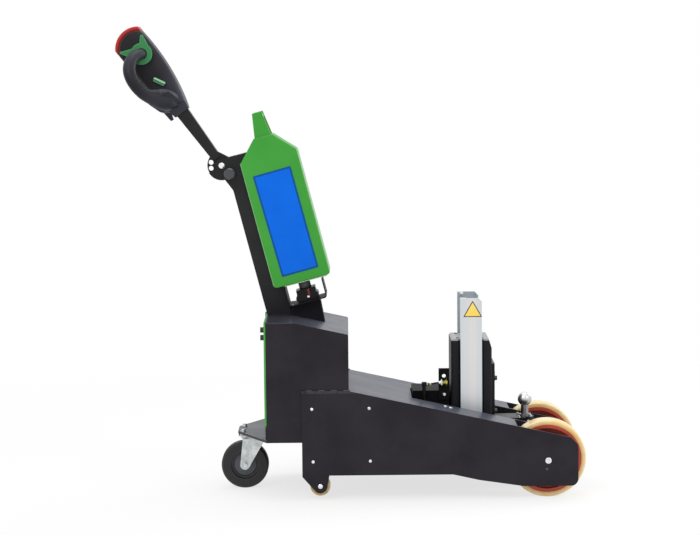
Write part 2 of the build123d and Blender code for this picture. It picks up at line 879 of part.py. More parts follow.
# Hitch: front plate, arm with its gussets, and the ball on its neck
plate_front_x = lift_front_x + front_plate
with BuildPart() as hitch_arm:
    with BuildSketch(Plane.YZ.offset(lift_front_x)):
        with Locations((0, (front_plate_foot_z + front_plate_top_z) / 2)):
            Rectangle(2 * front_plate_half, front_plate_top_z - front_plate_foot_z)
    extrude(amount=front_plate)
    with BuildSketch(Plane.XY.offset(arm_top_z)):
        with Locations(((plate_front_x + hitch_x) / 2, 0)):
            Rectangle(hitch_x - plate_front_x, 2 * arm_half_width)
        with Locations((hitch_x, 0)):
            Circle(arm_tip)
    extrude(amount=-arm_sheet)
    for side, sign in sides:
        with BuildSketch(Plane.XZ.offset(-sign * arm_half_width)):
            Polygon(
                (plate_front_x, arm_top_z - arm_sheet),
                (hitch_x - arm_tip, arm_top_z - arm_sheet),
                (plate_front_x, front_plate_foot_z),
                align=None,
            )
        extrude(amount=sign * arm_sheet)
hitch_arm.part.label = "hitch_arm"
export_step(hitch_arm.part, "parts/hitch_arm.step")

with BuildPart() as hitch_ball:
    with BuildSketch(Plane.XY.offset(arm_top_z)):
        with Locations((hitch_x, 0)):
            Circle(neck_foot_radius)
    extrude(amount=neck_foot)
    with BuildSketch(Plane.XY.offset(arm_top_z + neck_foot)):
        with Locations((hitch_x, 0)):
            Circle(neck_radius)
    extrude(amount=ball_z - arm_top_z - neck_foot)
    with Locations((hitch_x, 0, ball_z)):
        Sphere(ball_radius)
hitch_ball.part.label = "hitch_ball"
export_step(hitch_ball.part, "parts/hitch_ball.step")

# Mast base: a cross plate with a closed box between the inner plates
with BuildPart() as mast_base:
    with BuildSketch(Plane.XY.offset(base_floor_z)):
        with Locations(((base_rear_x + base_front_x) / 2, 0)):
            Rectangle(base_front_x - base_rear_x, 2 * slot_half)
    extrude(amount=plate)
    with BuildSketch(Plane.XY.offset(base_floor_z + plate)):
        with Locations(((base_rear_x + base_front_x) / 2, 0)):
            Rectangle(base_front_x - base_rear_x, 2 * base_half)
    extrude(amount=base_top_z - base_floor_z - plate)
mast_base.part.label = "mast_base"
export_step(mast_base.part, "parts/mast_base.step")

# Sensor bracket: plate on the mast base's side, with a spare hole and the saddle that clamps the sensor
bracket_x = bracket_rear_x + bracket_width / 2
with BuildPart() as sensor_bracket:
    with BuildSketch(Plane.XZ.offset(base_half)):
        with Locations((bracket_x, (bracket_top_z + bracket_foot_z) / 2)):
            Rectangle(bracket_width, bracket_top_z - bracket_foot_z)
        with Locations((bracket_x, bracket_hole_z)):
            Circle(bracket_hole_radius, mode=Mode.SUBTRACT)
    extrude(amount=bracket_sheet)
    with BuildSketch(Plane.XZ.offset(base_half + bracket_sheet)):
        with Locations((bracket_x, sensor_z)):
            Rectangle(clamp_length, 2 * (sensor_radius + clamp_wall))
    extrude(amount=sensor_radius)
    with BuildSketch(Plane.YZ.offset(bracket_rear_x)):
        with Locations((sensor_y, sensor_z)):
            Circle(sensor_radius)
    extrude(amount=bracket_width, mode=Mode.SUBTRACT)
sensor_bracket.part.label = "sensor_bracket"
export_step(sensor_bracket.part, "parts/sensor_bracket.step")

with BuildPart() as sensor:
    with BuildSketch(Plane.YZ.offset(sensor_rear_x)):
        with Locations((sensor_y, sensor_z)):
            Circle(sensor_radius)
    extrude(amount=sensor_length)
    with BuildSketch(Plane.YZ.offset(sensor_rear_x)):
        with Locations((sensor_y, sensor_z)):
            Circle(sensor_tail_radius)
    extrude(amount=-sensor_tail)
sensor.part.label = "sensor"
export_step(sensor.part, "parts/sensor.step")

# Sensor plug: square head on an upright round body, with a stub towards the sensor
with BuildPart() as sensor_plug:
    with BuildSketch(Plane.XY.offset(plug_foot_z)):
        with Locations((plug_x, sensor_y)):
            Circle(plug_radius)
    extrude(amount=plug_top_z - plug_foot_z - plug_head_height)
    with BuildSketch(Plane.XY.offset(plug_top_z - plug_head_height)):
        with Locations((plug_x, sensor_y)):
            Rectangle(plug_head, plug_head)
    extrude(amount=plug_head_height)
    chamfer(sensor_plug.edges().filter_by(Axis.Z), length=plug_head / 6)
    with BuildSketch(Plane.YZ.offset(plug_x)):
        with Locations((sensor_y, plug_stub_z)):
            Circle(plug_stub_radius)
    extrude(amount=plug_stub_x - plug_x)
sensor_plug.part.label = "sensor_plug"
export_step(sensor_plug.part, "parts/sensor_plug.step")

# Sensor leads: the sensor's own lead to the plug, and the cable from the plug down to the gland.
# A route is a list of places along X and up Z; columns are tube radius, route and the radius of each corner
gland_end_x = slot_rear_x + sheet + gland_length
tail_end_x = sensor_rear_x - sensor_tail
lead_route = [(plug_stub_x, plug_stub_z), (211, plug_stub_z), (224, sensor_z), (tail_end_x, sensor_z)]
cable_route = [(plug_x, plug_foot_z), (plug_x, 247), (201, 228), (191, gland_z), (gland_end_x, gland_z)]
lead_routes = [(lead_radius, lead_route, [40, 40]), (cable_radius, cable_route, [20, 18, 16])]
with BuildPart() as sensor_lead:
    for radius, route, corners in lead_routes:
        with BuildLine():
            lead_path = FilletPolyline(*[(x, sensor_y, z) for x, z in route], radius=corners)
        with BuildSketch(Plane(origin=lead_path @ 0, z_dir=lead_path % 0)):
            Circle(radius)
        sweep()
        print(f"lead of radius {radius}: length {lead_path.length:.1f}, bends of radius {corners}")
sensor_lead.part.label = "sensor_lead"
export_step(sensor_lead.part, "parts/sensor_lead.step")

# Tiller arm: index disc with its holes and flat, the boss on the pin, and the tapered arm
pivot = column_plane.from_local_coords((pivot_across, pivot_along, 0))
tiller_plane = Plane(
    origin=pivot,
    x_dir=(cos(radians(tiller_lean)), 0, sin(radians(tiller_lean))),
    z_dir=(0, -1, 0),
)
flat_x = flat_distance * cos(radians(flat_angle))
flat_y = flat_distance * sin(radians(flat_angle))
first_hole = knob_angle + tilt - tiller_lean + index_step
hole_sweep = -index_step * (index_count - 1)
with BuildPart() as tiller_arm:
    with BuildSketch(tiller_plane):
        Circle(disc_radius)
        with Locations(Location((flat_x, flat_y, 0), (0, 0, flat_angle))):
            Rectangle(disc_radius, 2 * disc_radius, align=(Align.MIN, Align.CENTER), mode=Mode.SUBTRACT)
        with PolarLocations(index_radius, index_count, first_hole, hole_sweep, endpoint=True):
            Circle(plunger_radius + index_play, mode=Mode.SUBTRACT)
    extrude(amount=disc_half, both=True)
    with BuildSketch(tiller_plane):
        Circle(boss_radius)
    extrude(amount=boss_half, both=True)
    with BuildSketch(tiller_plane):
        Polygon(
            (-arm_half, arm_start),
            (arm_half, arm_start),
            (arm_head_half, arm_end),
            (-arm_head_half, arm_end),
            align=None,
        )
    extrude(amount=arm_thickness / 2, both=True)
    with BuildSketch(tiller_plane):
        Circle(pivot_pin_radius + running)
    extrude(amount=boss_half, both=True, mode=Mode.SUBTRACT)
tiller_arm.part.label = "tiller_arm"
export_step(tiller_arm.part, "parts/tiller_arm.step")

# Tiller head: a rounded pod between arcs, tapered in plan where it meets the arm
pad_arc = [(-head_fall, pad_low), (pad_crown_across, pad_crown), (head_rise, pad_high)]
seat_arc = [(across, along - pad_thickness) for across, along in pad_arc]
plan_plane = Plane(origin=pivot, x_dir=tiller_plane.y_dir, z_dir=tiller_plane.x_dir)
with BuildPart() as pod:
    with BuildSketch(tiller_plane):
        with BuildLine():
            seat = ThreePointArc(*seat_arc)
            upper = ThreePointArc(seat @ 1, (head_swell, pod_middle), (tail_rise, arm_end))
            foot = Line(upper @ 1, (-tail_fall, arm_end))
            ThreePointArc(foot @ 1, (-head_belly, pod_middle), seat @ 0)
        make_face()
    extrude(amount=head_half, both=True)
    for face in pod.faces().filter_by(Axis.Y):
        fillet(face.edges().sort_by(SortBy.LENGTH)[-2:], radius=head_round)
    with BuildSketch(plan_plane):
        Polygon(
            (arm_end, -tail_half),
            (arm_end, tail_half),
            (arm_end + tail_length, head_half),
            (pad_crown, head_half),
            (pad_crown, -head_half),
            (arm_end + tail_length, -head_half),
            align=None,
        )
    extrude(amount=2 * head_fall, both=True, mode=Mode.INTERSECT)

# Shoulder profile: across as a share of head_fall, along as a share of shoulder_length above the arm's end
shoulder_shares = [
    (-1.12, 1),
    (-0.44, 1),
    (0.01, 0.79),
    (0.26, 0.68),
    (0.42, 0.31),
    (0.42, 0.19),
    (-0.6, 0.19),
    (-0.84, 0.28),
    (-0.98, 0.38),
    (-1.16, 0.72),
]
# Half of the shoulder plan: out as a share of shoulder_half, along as a share of shoulder_length
shoulder_plan_shares = [
    (0, 0.19),
    (0.22, 0.19),
    (0.54, 0.31),
    (1, 0.72),
    (1, 1),
    (0.74, 1),
    (0.7, 0.82),
    (0.39, 0.78),
    (0, 0.78),
]
# Hook under the head, in the shares of the profile
hook_shares = [(-0.96, 0.4), (-0.88, 0), (-0.72, -0.01), (-0.63, 0.12), (-0.45, 0.23), (-0.45, 0.4)]


def head_points(shares):
    return [(across * head_fall, arm_end + along * shoulder_length) for across, along in shares]


plan_points = [
    (out * shoulder_half, arm_end + along * shoulder_length) for out, along in shoulder_plan_shares
]
with BuildPart() as tiller_head:
    with BuildSketch(tiller_plane):
        Polygon(*head_points(shoulder_shares), align=None)
    extrude(amount=shoulder_half, both=True)
    chamfer(tiller_head.faces().filter_by(Axis.Y).edges(), length=shoulder_edge)
    with BuildSketch(plan_plane):
        for end in (-1, 1):
            Polygon(*[(along, end * out) for out, along in plan_points], align=None)
    extrude(amount=2 * head_fall, both=True, mode=Mode.INTERSECT)
    with BuildSketch(tiller_plane):
        Polygon(*head_points(hook_shares), align=None)
    extrude(amount=hook_half, both=True)
    add(pod.part)
tiller_head.part.label = "tiller_head"
export_step(tiller_head.part, "parts/tiller_head.step")

# Belly pad: a curved bumper across the end of the head
with BuildPart() as belly_pad:
    with BuildSketch(tiller_plane):
        with BuildLine():
            crown = ThreePointArc(*pad_arc)
            seat = ThreePointArc(*seat_arc)
            Line(crown @ 0, seat @ 0)
            Line(crown @ 1, seat @ 1)
        make_face()
    extrude(amount=pad_half, both=True)
belly_pad.part.label = "belly_pad"
export_step(belly_pad.part, "parts/belly_pad.step")

# Grip route: along the tiller, across it, and out from the middle, with the radius of the bend there
grip_start = arm_end + shoulder_length
grip_route = [
    (grip_start, -grip_drop, shoulder_half - grip_radius, 0),
    (grip_start + 1.6 * grip_radius, -grip_drop, shoulder_half - grip_radius, 2.7 * grip_radius),
    (throttle_along - throttle_radius, -head_fall, grip_reach, 2.3 * grip_radius),
    (throttle_along, throttle_across, grip_reach - 1.6 * grip_radius, 2.3 * grip_radius),
    (throttle_along, throttle_across, head_half, 0),
]
# Horns of a throttle, in shares of throttle_radius from its centre: the tip's across and along, then the
# root's across, along and radius
horn_shares = [(1, 1.32, 0.28, -0.2, 0.62), (-1.46, 1.18, -0.49, 0.39, 0.5)]
horns = []
for tip_across, tip_along, root_across, root_along, root_share in horn_shares:
    with BuildSketch() as horn:
        with Locations((root_across * throttle_radius, root_along * throttle_radius)):
            Circle(root_share * throttle_radius)
        with Locations((tip_across * throttle_radius, tip_along * throttle_radius)):
            Circle(horn_tip)
        make_hull()
    horns.append(horn.sketch_local)

# Grip loops and the thumb throttles that turn on them
for side, sign in sides:
    points = [
        tiller_plane.from_local_coords((across, along, -sign * out))
        for along, across, out, turn in grip_route
    ]
    turns = [turn for along, across, out, turn in grip_route[1:-1]]
    with BuildPart() as grip_loop:
        with BuildLine() as grip_path:
            FilletPolyline(*points, radius=turns)
        with BuildSketch(Plane(origin=grip_path.line @ 0, z_dir=grip_path.line % 0)):
            Circle(grip_radius)
        sweep()
    grip_loop.part.label = f"grip_loop_{side}"
    export_step(grip_loop.part, node_file(grip_loop.part.label))

    with BuildPart() as throttle:
        with BuildSketch(tiller_plane.offset(-sign * head_half)):
            with Locations((throttle_across, throttle_along)):
                Circle(throttle_radius)
                for horn_sketch in horns:
                    add(horn_sketch)
                Circle(grip_radius + running, mode=Mode.SUBTRACT)
        extrude(amount=-sign * throttle_width)
    throttle.part.label = f"throttle_{side}"
    export_step(throttle.part, node_file(throttle.part.label))

# Rocker switch on the right flank of the pod
with BuildPart() as rocker:
    with BuildSketch(tiller_plane.offset(head_half)):
        with Locations((rocker_across, rocker_along)):
            RectangleRounded(rocker_length, rocker_width, rocker_round, rotation=rocker_turn)
    extrude(amount=rocker_height)
rocker.part.label = "rocker"
export_step(rocker.part, "parts/rocker.step")
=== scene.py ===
from math import atan2, cos, pi, radians, sin, tau

import bmesh
import bpy
from mathutils import Matrix, Vector


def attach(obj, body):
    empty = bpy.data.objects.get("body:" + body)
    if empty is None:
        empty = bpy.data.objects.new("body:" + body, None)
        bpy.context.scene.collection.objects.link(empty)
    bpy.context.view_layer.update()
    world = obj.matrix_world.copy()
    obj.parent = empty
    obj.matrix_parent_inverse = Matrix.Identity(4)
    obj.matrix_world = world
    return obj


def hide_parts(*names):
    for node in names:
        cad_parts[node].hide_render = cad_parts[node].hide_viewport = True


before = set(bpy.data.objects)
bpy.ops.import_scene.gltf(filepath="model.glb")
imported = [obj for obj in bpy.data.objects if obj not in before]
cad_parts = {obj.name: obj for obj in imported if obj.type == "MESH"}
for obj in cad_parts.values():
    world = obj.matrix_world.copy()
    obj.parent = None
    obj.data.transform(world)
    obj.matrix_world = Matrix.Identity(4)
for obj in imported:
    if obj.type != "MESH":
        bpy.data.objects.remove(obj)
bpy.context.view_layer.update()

# The picture: a level floor, a long lens in front of the machine's right side, and soft light from all round.
# The camera's place, tilt and lens come from fitting the wheels and the box edges in the photograph.
camera_distance = 5.52
camera_height = 1.116
camera_side = 0.0015
camera_dip = 0.0960
camera_roll = 0.0095
lens_in_widths = 3.0
film_width = 36.0
eye = bpy.data.cameras.new("camera")
eye.sensor_width = film_width
eye.lens = lens_in_widths * film_width
camera = bpy.data.objects.new("camera", eye)
bpy.context.collection.objects.link(camera)
camera.matrix_world = (
    Matrix.Translation((camera_side, -camera_distance, camera_height))
    @ Matrix.Rotation(pi / 2 - camera_dip, 4, "X")
    @ Matrix.Rotation(-camera_roll, 4, "Z")
)
bpy.context.scene.camera = camera
bpy.context.scene.view_settings.view_transform = "Standard"

daylight = 0.62
world = bpy.data.worlds.new("studio")
world.use_nodes = True
bpy.context.scene.world = world
sky = world.node_tree.nodes["Background"]
seen = world.node_tree.nodes.new("ShaderNodeLightPath")
shown = world.node_tree.nodes.new("ShaderNodeMath")
shown.operation = "MAXIMUM"
world.node_tree.links.new(seen.outputs["Is Camera Ray"], shown.inputs[0])
world.node_tree.links.new(seen.outputs["Is Glossy Ray"], shown.inputs[1])
level = world.node_tree.nodes.new("ShaderNodeMapRange")
level.inputs["To Min"].default_value = daylight
level.inputs["To Max"].default_value = 1.0
world.node_tree.links.new(shown.outputs[0], level.inputs["Value"])
world.node_tree.links.new(level.outputs["Result"], sky.inputs["Strength"])
sky.inputs["Color"].default_value = (1.0, 1.0, 1.0, 1.0)

# Lamps: name, place, aim, size and power
for name, place, aim, size, power in (
    ("key", (-1.6, -3.2, 3.4), (0.0, 0.0, 0.5), 2.4, 55.0),
    ("fill", (2.8, -2.4, 2.2), (0.1, 0.0, 0.4), 2.0, 22.0),
    ("top", (0.2, 0.6, 3.6), (0.1, 0.0, 0.3), 2.6, 40.0),
    ("rim", (3.0, 2.4, 2.2), (0.1, 0.0, 0.5), 1.6, 30.0),
):
    lamp = bpy.data.lights.new(name, "AREA")
    lamp.size = size
    lamp.energy = power
    light = bpy.data.objects.new(name, lamp)
    bpy.context.collection.objects.link(light)
    light.location = place
    light.rotation_euler = (Vector(aim) - Vector(place)).to_track_quat("-Z", "Y").to_euler()


# Chassis: two side plates and two inner plates, laser cut from six millimetre steel, with a folded deck,
# a belly pan and a bulkhead between them. It is welded up and powder coated in one dark, warm charcoal,
# with a fine orange peel, and the coat is rubbed a little brighter along the edges.
class Value:
    """A number, colour or direction that varies over a surface, with the sums that a finish needs."""

    def __init__(self, finish, socket):
        self.finish = finish
        self.socket = socket

    def sum(self, operation, first, second):
        return self.finish.node("Math", {"operation": operation}, {0: first, 1: second})

    def __add__(self, other):
        return self.sum("ADD", self, other)

    def __sub__(self, other):
        return self.sum("SUBTRACT", self, other)

    def __mul__(self, other):
        return self.sum("MULTIPLY", self, other)

    def __rsub__(self, other):
        return self.sum("SUBTRACT", other, self)

    def __abs__(self):
        return self.finish.node("Math", {"operation": "ABSOLUTE"}, {0: self})

    __radd__ = __add__
    __rmul__ = __mul__

    def ramp(self, low, high, start=0.0, end=1.0):
        """Eases from one number to another while the value goes from low to high."""
        values = {"Value": self, "From Min": low, "From Max": high, "To Min": start, "To Max": end}
        return self.finish.node("MapRange", {"interpolation_type": "SMOOTHSTEP"}, values)

    def middle(self, start=0.0, end=1.0):
        """Spreads the middle of a noise's range between two numbers."""
        return self.ramp(0.3, 0.7, start, end)

    def mix(self, first, second):
        """The first colour where the value is nought, and the second where it is one."""
        return self.finish.node("Mix", {"data_type": "RGBA"}, {0: self, 6: first, 7: second}, 2)

    def bump(self, depth, round_off=0.0):
        """A relief as deep as this in metres, on edges that may be rounded off."""
        values = {"Height": self, "Distance": depth, "Strength": 1.0}
        if round_off:
            values["Normal"] = self.finish.node("Bevel", {"samples": 4}, {"Radius": round_off})
        return self.finish.node("Bump", {}, values)


class Finish:
    """One paint, metal, rubber or plastic. Every node of its material is made by node()."""

    def __init__(self, name, roughness, metallic=0.0, **constants):
        self.material = bpy.data.materials.new(name)
        self.material.use_nodes = True
        self.tree = self.material.node_tree
        self.shader = self.tree.nodes["Principled BSDF"]
        self.set(self.shader, {"Roughness": roughness, "Metallic": metallic})
        self.wear(**constants)
        self.place = self.node("TexCoord", {}, {}, "Object")

    def set(self, node, values):
        """Links or sets a node's sockets. A colour is given as red, green and blue."""
        for key, value in values.items():
            socket = node.inputs[key]
            if isinstance(value, Value):
                self.tree.links.new(value.socket, socket)
            else:
                socket.default_value = (*value, 1.0) if socket.type == "RGBA" else value

    def node(self, kind, settings, values, output=0):
        made = self.tree.nodes.new("ShaderNode" + kind)
        for key, value in settings.items():
            setattr(made, key, value)
        self.set(made, values)
        return Value(self, made.outputs[output])

    def noise(self, per_metre, detail=2.0, spread=0.5, stretch=(1.0, 1.0, 1.0)):
        scaled = self.node("Mapping", {}, {"Vector": self.place, "Scale": stretch})
        values = {"Vector": scaled, "Scale": per_metre, "Detail": detail, "Roughness": spread}
        return self.node("TexNoise", {}, values)

    def along(self, axis):
        return self.node("SeparateXYZ", {}, {0: self.place}, axis)

    def toward(self, point, direction):
        """Distance from a point along a direction, which is given in X and Z."""
        return (self.along(0) - point.x) * direction[0] + (self.along(2) - point.z) * direction[1]

    def looks(self, axis):
        """How much a face looks along an axis, from minus one to one."""
        normal = self.node("NewGeometry", {}, {}, "Normal")
        return self.node("SeparateXYZ", {}, {0: normal}, axis)

    def upward(self):
        """One on faces that look up, nought on walls and undersides."""
        return self.looks(2).ramp(0.2, 0.9)

    def reach(self, centre, axis):
        """Distance from a line through a point, where the line runs along X, Y or Z."""
        keep = [0.0 if number == axis else 1.0 for number in range(3)]
        moved = self.node("VectorMath", {"operation": "SUBTRACT"}, {0: self.place, 1: centre})
        flat = self.node("VectorMath", {"operation": "MULTIPLY"}, {0: moved, 1: keep})
        return self.node("VectorMath", {"operation": "LENGTH"}, {0: flat}, "Value")

    def edges(self, radius):
        """One along the edges of the piece and nought on its flats."""
        soft = self.node("Bevel", {"samples": 4}, {"Radius": radius})
        flat = self.node("NewGeometry", {}, {}, "True Normal")
        match = self.node("VectorMath", {"operation": "DOT_PRODUCT"}, {0: soft, 1: flat}, "Value")
        return (1 - match).ramp(0.01, 0.12)

    def wear(self, **surface):
        self.set(self.shader, {key.replace("_", " "): value for key, value in surface.items()})
        return self

    def painted(self):
        """The colour that the surface has so far, to be painted over."""
        return Value(self, self.shader.inputs["Base Color"].links[0].from_socket)


def dress(finish, *nodes):
    """Gives pieces of the frame their finish."""
    for node in nodes:
        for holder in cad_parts[node].material_slots:
            holder.material = finish.material


def powder_coat(name, base, rub, roughness, shine=0.25):
    coat = Finish(name, roughness, Specular_IOR_Level=shine)
    peel = coat.noise(900.0, 3.0)
    cloud = coat.noise(7.0, 4.0, 0.6)
    scuff = coat.noise(60.0, 5.0, 0.7).ramp(0.42, 0.62)
    shade = cloud.middle(0.0, 0.25).mix(base, rub)
    return coat.wear(
        Base_Color=(coat.edges(0.0012) * scuff * 0.8).mix(shade, rub),
        Roughness=cloud.middle(roughness - 0.04, roughness + 0.05),
        Normal=peel.bump(0.00006, 0.0008),
    )


charcoal = (0.0092, 0.0064, 0.0112)
charcoal_rub_and_highlight = (0.046, 0.041, 0.050)
upward_sheen = (0.080, 0.085, 0.114)
side_face = 0.196
shoulder_line = 0.279
roof_rear = -0.215
roof_front = -0.040
roof_edge = 0.38
chassis_coat = powder_coat("chassis_coat", charcoal, charcoal_rub_and_highlight, 0.36, 0.22)
# Painted highlight: light dashes run along the top band of each side face, above the shoulder line, for the
# lit edge under the stitch welds. The same light charcoal also gives the coat's rubbed edges.
on_side = abs(chassis_coat.along(1)).ramp(side_face - 0.0005, side_face - 0.0001)
on_shoulder = chassis_coat.along(2).ramp(shoulder_line - 0.0005, shoulder_line + 0.0005)
shoulder_highlight_dashes = chassis_coat.noise(46.0, 2.0, 0.5, (1.0, 0.0, 0.0)).ramp(0.35, 0.55, 0.25, 0.9)
coat_face = (on_side * on_shoulder * shoulder_highlight_dashes).mix(chassis_coat.painted(), charcoal_rub_and_highlight)
# Painted reflection: faces that look up are lightened to a pale blue grey for the sky seen at a grazing
# angle. The rear of the roof gets less of it, as painted shade.
roof_shade = chassis_coat.along(0).ramp(roof_rear, roof_front, 0.80, 0.0)
roof_shade = roof_shade * chassis_coat.along(2).ramp(roof_edge, roof_edge + 0.02)
chassis_coat.wear(Base_Color=(chassis_coat.upward() * (1 - roof_shade)).mix(coat_face, upward_sheen))
dress(chassis_coat, "side_plate_left", "side_plate_right", "inner_plate_left", "inner_plate_right")
dress(chassis_coat, "deck", "belly_pan", "bulkhead")

# Chassis screws: low button heads with a hexagon socket, zinc plated. Four on each side plate hold the cross
# members, two on the right strip of the deck hold the cable guide, and a larger one clamps each roller's pin.
sides = {"left": 1.0, "right": -1.0}
deck_rear = (-0.005, 0.285)
deck_front = (0.565, 0.160)
deck_slope = (deck_rear[1] - deck_front[1]) / (deck_front[0] - deck_rear[0])
side_screws = [(-0.100, 0.239), (0.047, 0.240), (-0.098, 0.102), (0.049, 0.103)]
deck_screws = [(0.246, -0.118), (0.259, -0.124)]
roller_bolt = (-0.080, 0.038)


def turned(profile, steps=32):
    """Spins points given as radius and height round Z into one closed shape."""
    shape = bmesh.new()
    points = [shape.verts.new((radius, 0.0, height)) for radius, height in profile]
    runs = [shape.edges.new(pair) for pair in zip(points, points[1:])]
    bmesh.ops.spin(
        shape, geom=points + runs, cent=(0.0, 0.0, 0.0), axis=(0.0, 0.0, 1.0),
        steps=steps, angle=tau, use_merge=True,
    )
    bmesh.ops.remove_doubles(shape, verts=shape.verts, dist=1e-6)
    bmesh.ops.recalc_face_normals(shape, faces=shape.faces)
    return shape


def facing(point, outward, turn=0.0):
    """The place of a piece that stands on a point and whose Z looks outward."""
    aim = Vector(outward).to_track_quat("Z", "Y").to_matrix().to_4x4()
    return Matrix.Translation(point) @ aim @ Matrix.Rotation(turn, 4, "Z")


def copies(shape, places):
    """One shape repeated at each place."""
    pattern = bpy.data.meshes.new("pattern")
    shape.to_mesh(pattern)
    shape.free()
    group = bmesh.new()
    for place in places:
        start = len(group.verts)
        group.from_mesh(pattern)
        group.verts.ensure_lookup_table()
        bmesh.ops.transform(group, matrix=place, verts=group.verts[start:])
    bpy.data.meshes.remove(pattern)
    return group


def merged(*shapes):
    """Several shapes as one."""
    group = bmesh.new()
    for shape in shapes:
        part = bpy.data.meshes.new("part")
        shape.to_mesh(part)
        shape.free()
        group.from_mesh(part)
        bpy.data.meshes.remove(part)
    return group


def fit(name, shape, finish, body):
    """Turns a finished shape into a piece of the machine that moves with a body."""
    crease = radians(35.0)
    bmesh.ops.remove_doubles(shape, verts=shape.verts, dist=1e-6)
    bmesh.ops.recalc_face_normals(shape, faces=shape.faces)
    mesh = bpy.data.meshes.new(name)
    shape.to_mesh(mesh)
    shape.free()
    piece = bpy.data.objects.new(name, mesh)
    bpy.context.collection.objects.link(piece)
    mesh.materials.append(finish.material)
    for face in mesh.polygons:
        face.use_smooth = True
    mesh.set_sharp_from_angle(angle=crease)
    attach(piece, body)
    return piece


def fasten(name, head, places, finish, body="root"):
    """One head, nut or ring at each place."""
    fit(name, copies(head, places), finish, body)


def button_screw(radius, height):
    """A low round head with a hexagon socket."""
    drive = radius * 0.52
    depth = height * 0.15
    shape = turned([
        (0.0, depth), (drive, depth), (drive, height),
        (radius * 0.7, height), (radius, height * 0.5), (radius, 0.0),
    ], 24)
    for corner in shape.verts:
        if abs(corner.co.xy.length - drive) < 1e-5:
            turn = atan2(corner.co.y, corner.co.x) % (pi / 3) - pi / 6
            corner.co.xy *= cos(pi / 6) / cos(turn)
    return shape


def hex_bolt(radius, height, washer):
    """A hexagon head with a chamfered top, on a round washer."""
    crown = turned([(0.0, height), (radius * 0.86, height), (radius, height * 0.86), (radius, washer)], 6)
    rim = radius * 1.28
    seat = turned([(0.0, washer), (radius * 1.22, washer), (rim, washer * 0.5), (rim, 0.0)])
    return merged(crown, seat)


def plated(name, tint, roughness):
    """Zinc or nickel plate over turned or pressed steel, with a faint crystal cloud."""
    plate = Finish(name, roughness, 1.0)
    cloud = plate.noise(45.0, 4.0, 0.7)
    grain = plate.noise(1400.0, 2.0)
    dull = [channel * 0.72 for channel in tint]
    return plate.wear(
        Base_Color=cloud.ramp(0.35, 0.65).mix(tint, dull),
        Roughness=cloud.middle(roughness - 0.06, roughness + 0.08),
        Normal=grain.bump(0.00003, 0.0004),
    )


zinc_plate = plated("zinc_plate", (0.64, 0.67, 0.68), 0.34)
zinc_bright = plated("zinc_bright", (0.90, 0.91, 0.92), 0.30)
for name, side in sides.items():
    outward = (0.0, side, 0.0)
    places = [facing((x, side * side_face, z), outward) for x, z in side_screws]
    fasten("side_screws_" + name, button_screw(0.0038, 0.0014), places, zinc_bright)
    places = [facing((roller_bolt[0], side * side_face, roller_bolt[1]), outward)]
    fasten("roller_bolt_" + name, button_screw(0.0060, 0.0022), places, zinc_bright)
deck_normal = Vector((deck_slope, 0.0, 1.0)).normalized()
deck_places = [
    facing((x, y, deck_rear[1] - (x - deck_rear[0]) * deck_slope), deck_normal) for x, y in deck_screws
]
fasten("deck_screws", button_screw(0.0050, 0.0030), deck_places, zinc_bright)

# Axle ends: the drive axle is ground bar, shouldered in each side plate and held there by a button screw.
# Below it a small grub screw locks the wheel's spacer, in a dark hole with a worn slot.
axle_end = (0.507, 0.100)
grub_end = (0.503, 0.078)


def both_sides(spot, out, turn=0.0):
    """A place on each side of the machine, at a spot given in X and Z, that looks outward."""
    return [facing((spot[0], side * out, spot[1]), (0.0, side, 0.0), turn) for side in sides.values()]


fasten("axle_screws", button_screw(0.0078, 0.0022), both_sides(axle_end, side_face), zinc_bright)
ground_steel = plated("ground_steel", (0.58, 0.60, 0.62), 0.3)
dress(ground_steel, "drive_axle")
black_oxide = plated("black_oxide", (0.10, 0.10, 0.105), 0.42)
fasten("grub_screws", button_screw(0.0036, 0.0008), both_sides(grub_end, side_face), black_oxide)

# Stitch welds: short beads in the corner where the side plates' top edges meet the housing, painted over.
# Each is laid in one pass, with the ripples of the weld pool across it.
bead_length = 0.019
bead_radius = 0.0027
bead_ripples = 9
bead_pitch = 0.032
bead_count = 4
bead_start = (-0.116, 0.1912, 0.2855)


def weld_bead(length, radius, ripples):
    """A bead along Z with round ends and a ripple for each step of the weld."""
    profile = [(0.0, 0.0)]
    for step in range(1, 2 * ripples):
        share = step / (2 * ripples)
        swell = (1.0 if step % 2 else 0.86) * min(1.0, 5.0 * share, 5.0 * (1.0 - share)) ** 0.5
        profile.append((radius * swell, length * share))
    return turned(profile + [(0.0, length)], 12)


bead_places = [
    facing((bead_start[0] + bead_pitch * number, side * bead_start[1], bead_start[2]), (1.0, 0.0, 0.0))
    for side in sides.values()
    for number in range(bead_count)
]
bead_coat = powder_coat("bead_coat", (0.045, 0.042, 0.048), (0.11, 0.105, 0.115), 0.34)
beads = copies(weld_bead(bead_length, bead_radius, bead_ripples), bead_places)
fit("stitch_welds", beads, bead_coat, "root")

# Housing: one folded sheet of three millimetre steel in the chassis's own coat, open at the rear, where a
# pressed green panel closes it. The panel is held by four black turn knobs.
dress(chassis_coat, "housing", "castor_carrier")
leaf_green = (0.035, 0.300, 0.028)
panel_coat = powder_coat("panel_coat", leaf_green, (0.12, 0.50, 0.11), 0.38, 0.4)
knob_black = (0.006, 0.022, 0.008)
panel_face = -0.2216
knob_mask = panel_coat.along(0).ramp(panel_face - 0.0002, panel_face, 1.0, 0.0)
panel_coat.wear(Base_Color=knob_mask.mix(panel_coat.painted(), knob_black))
dress(panel_coat, "rear_panel")

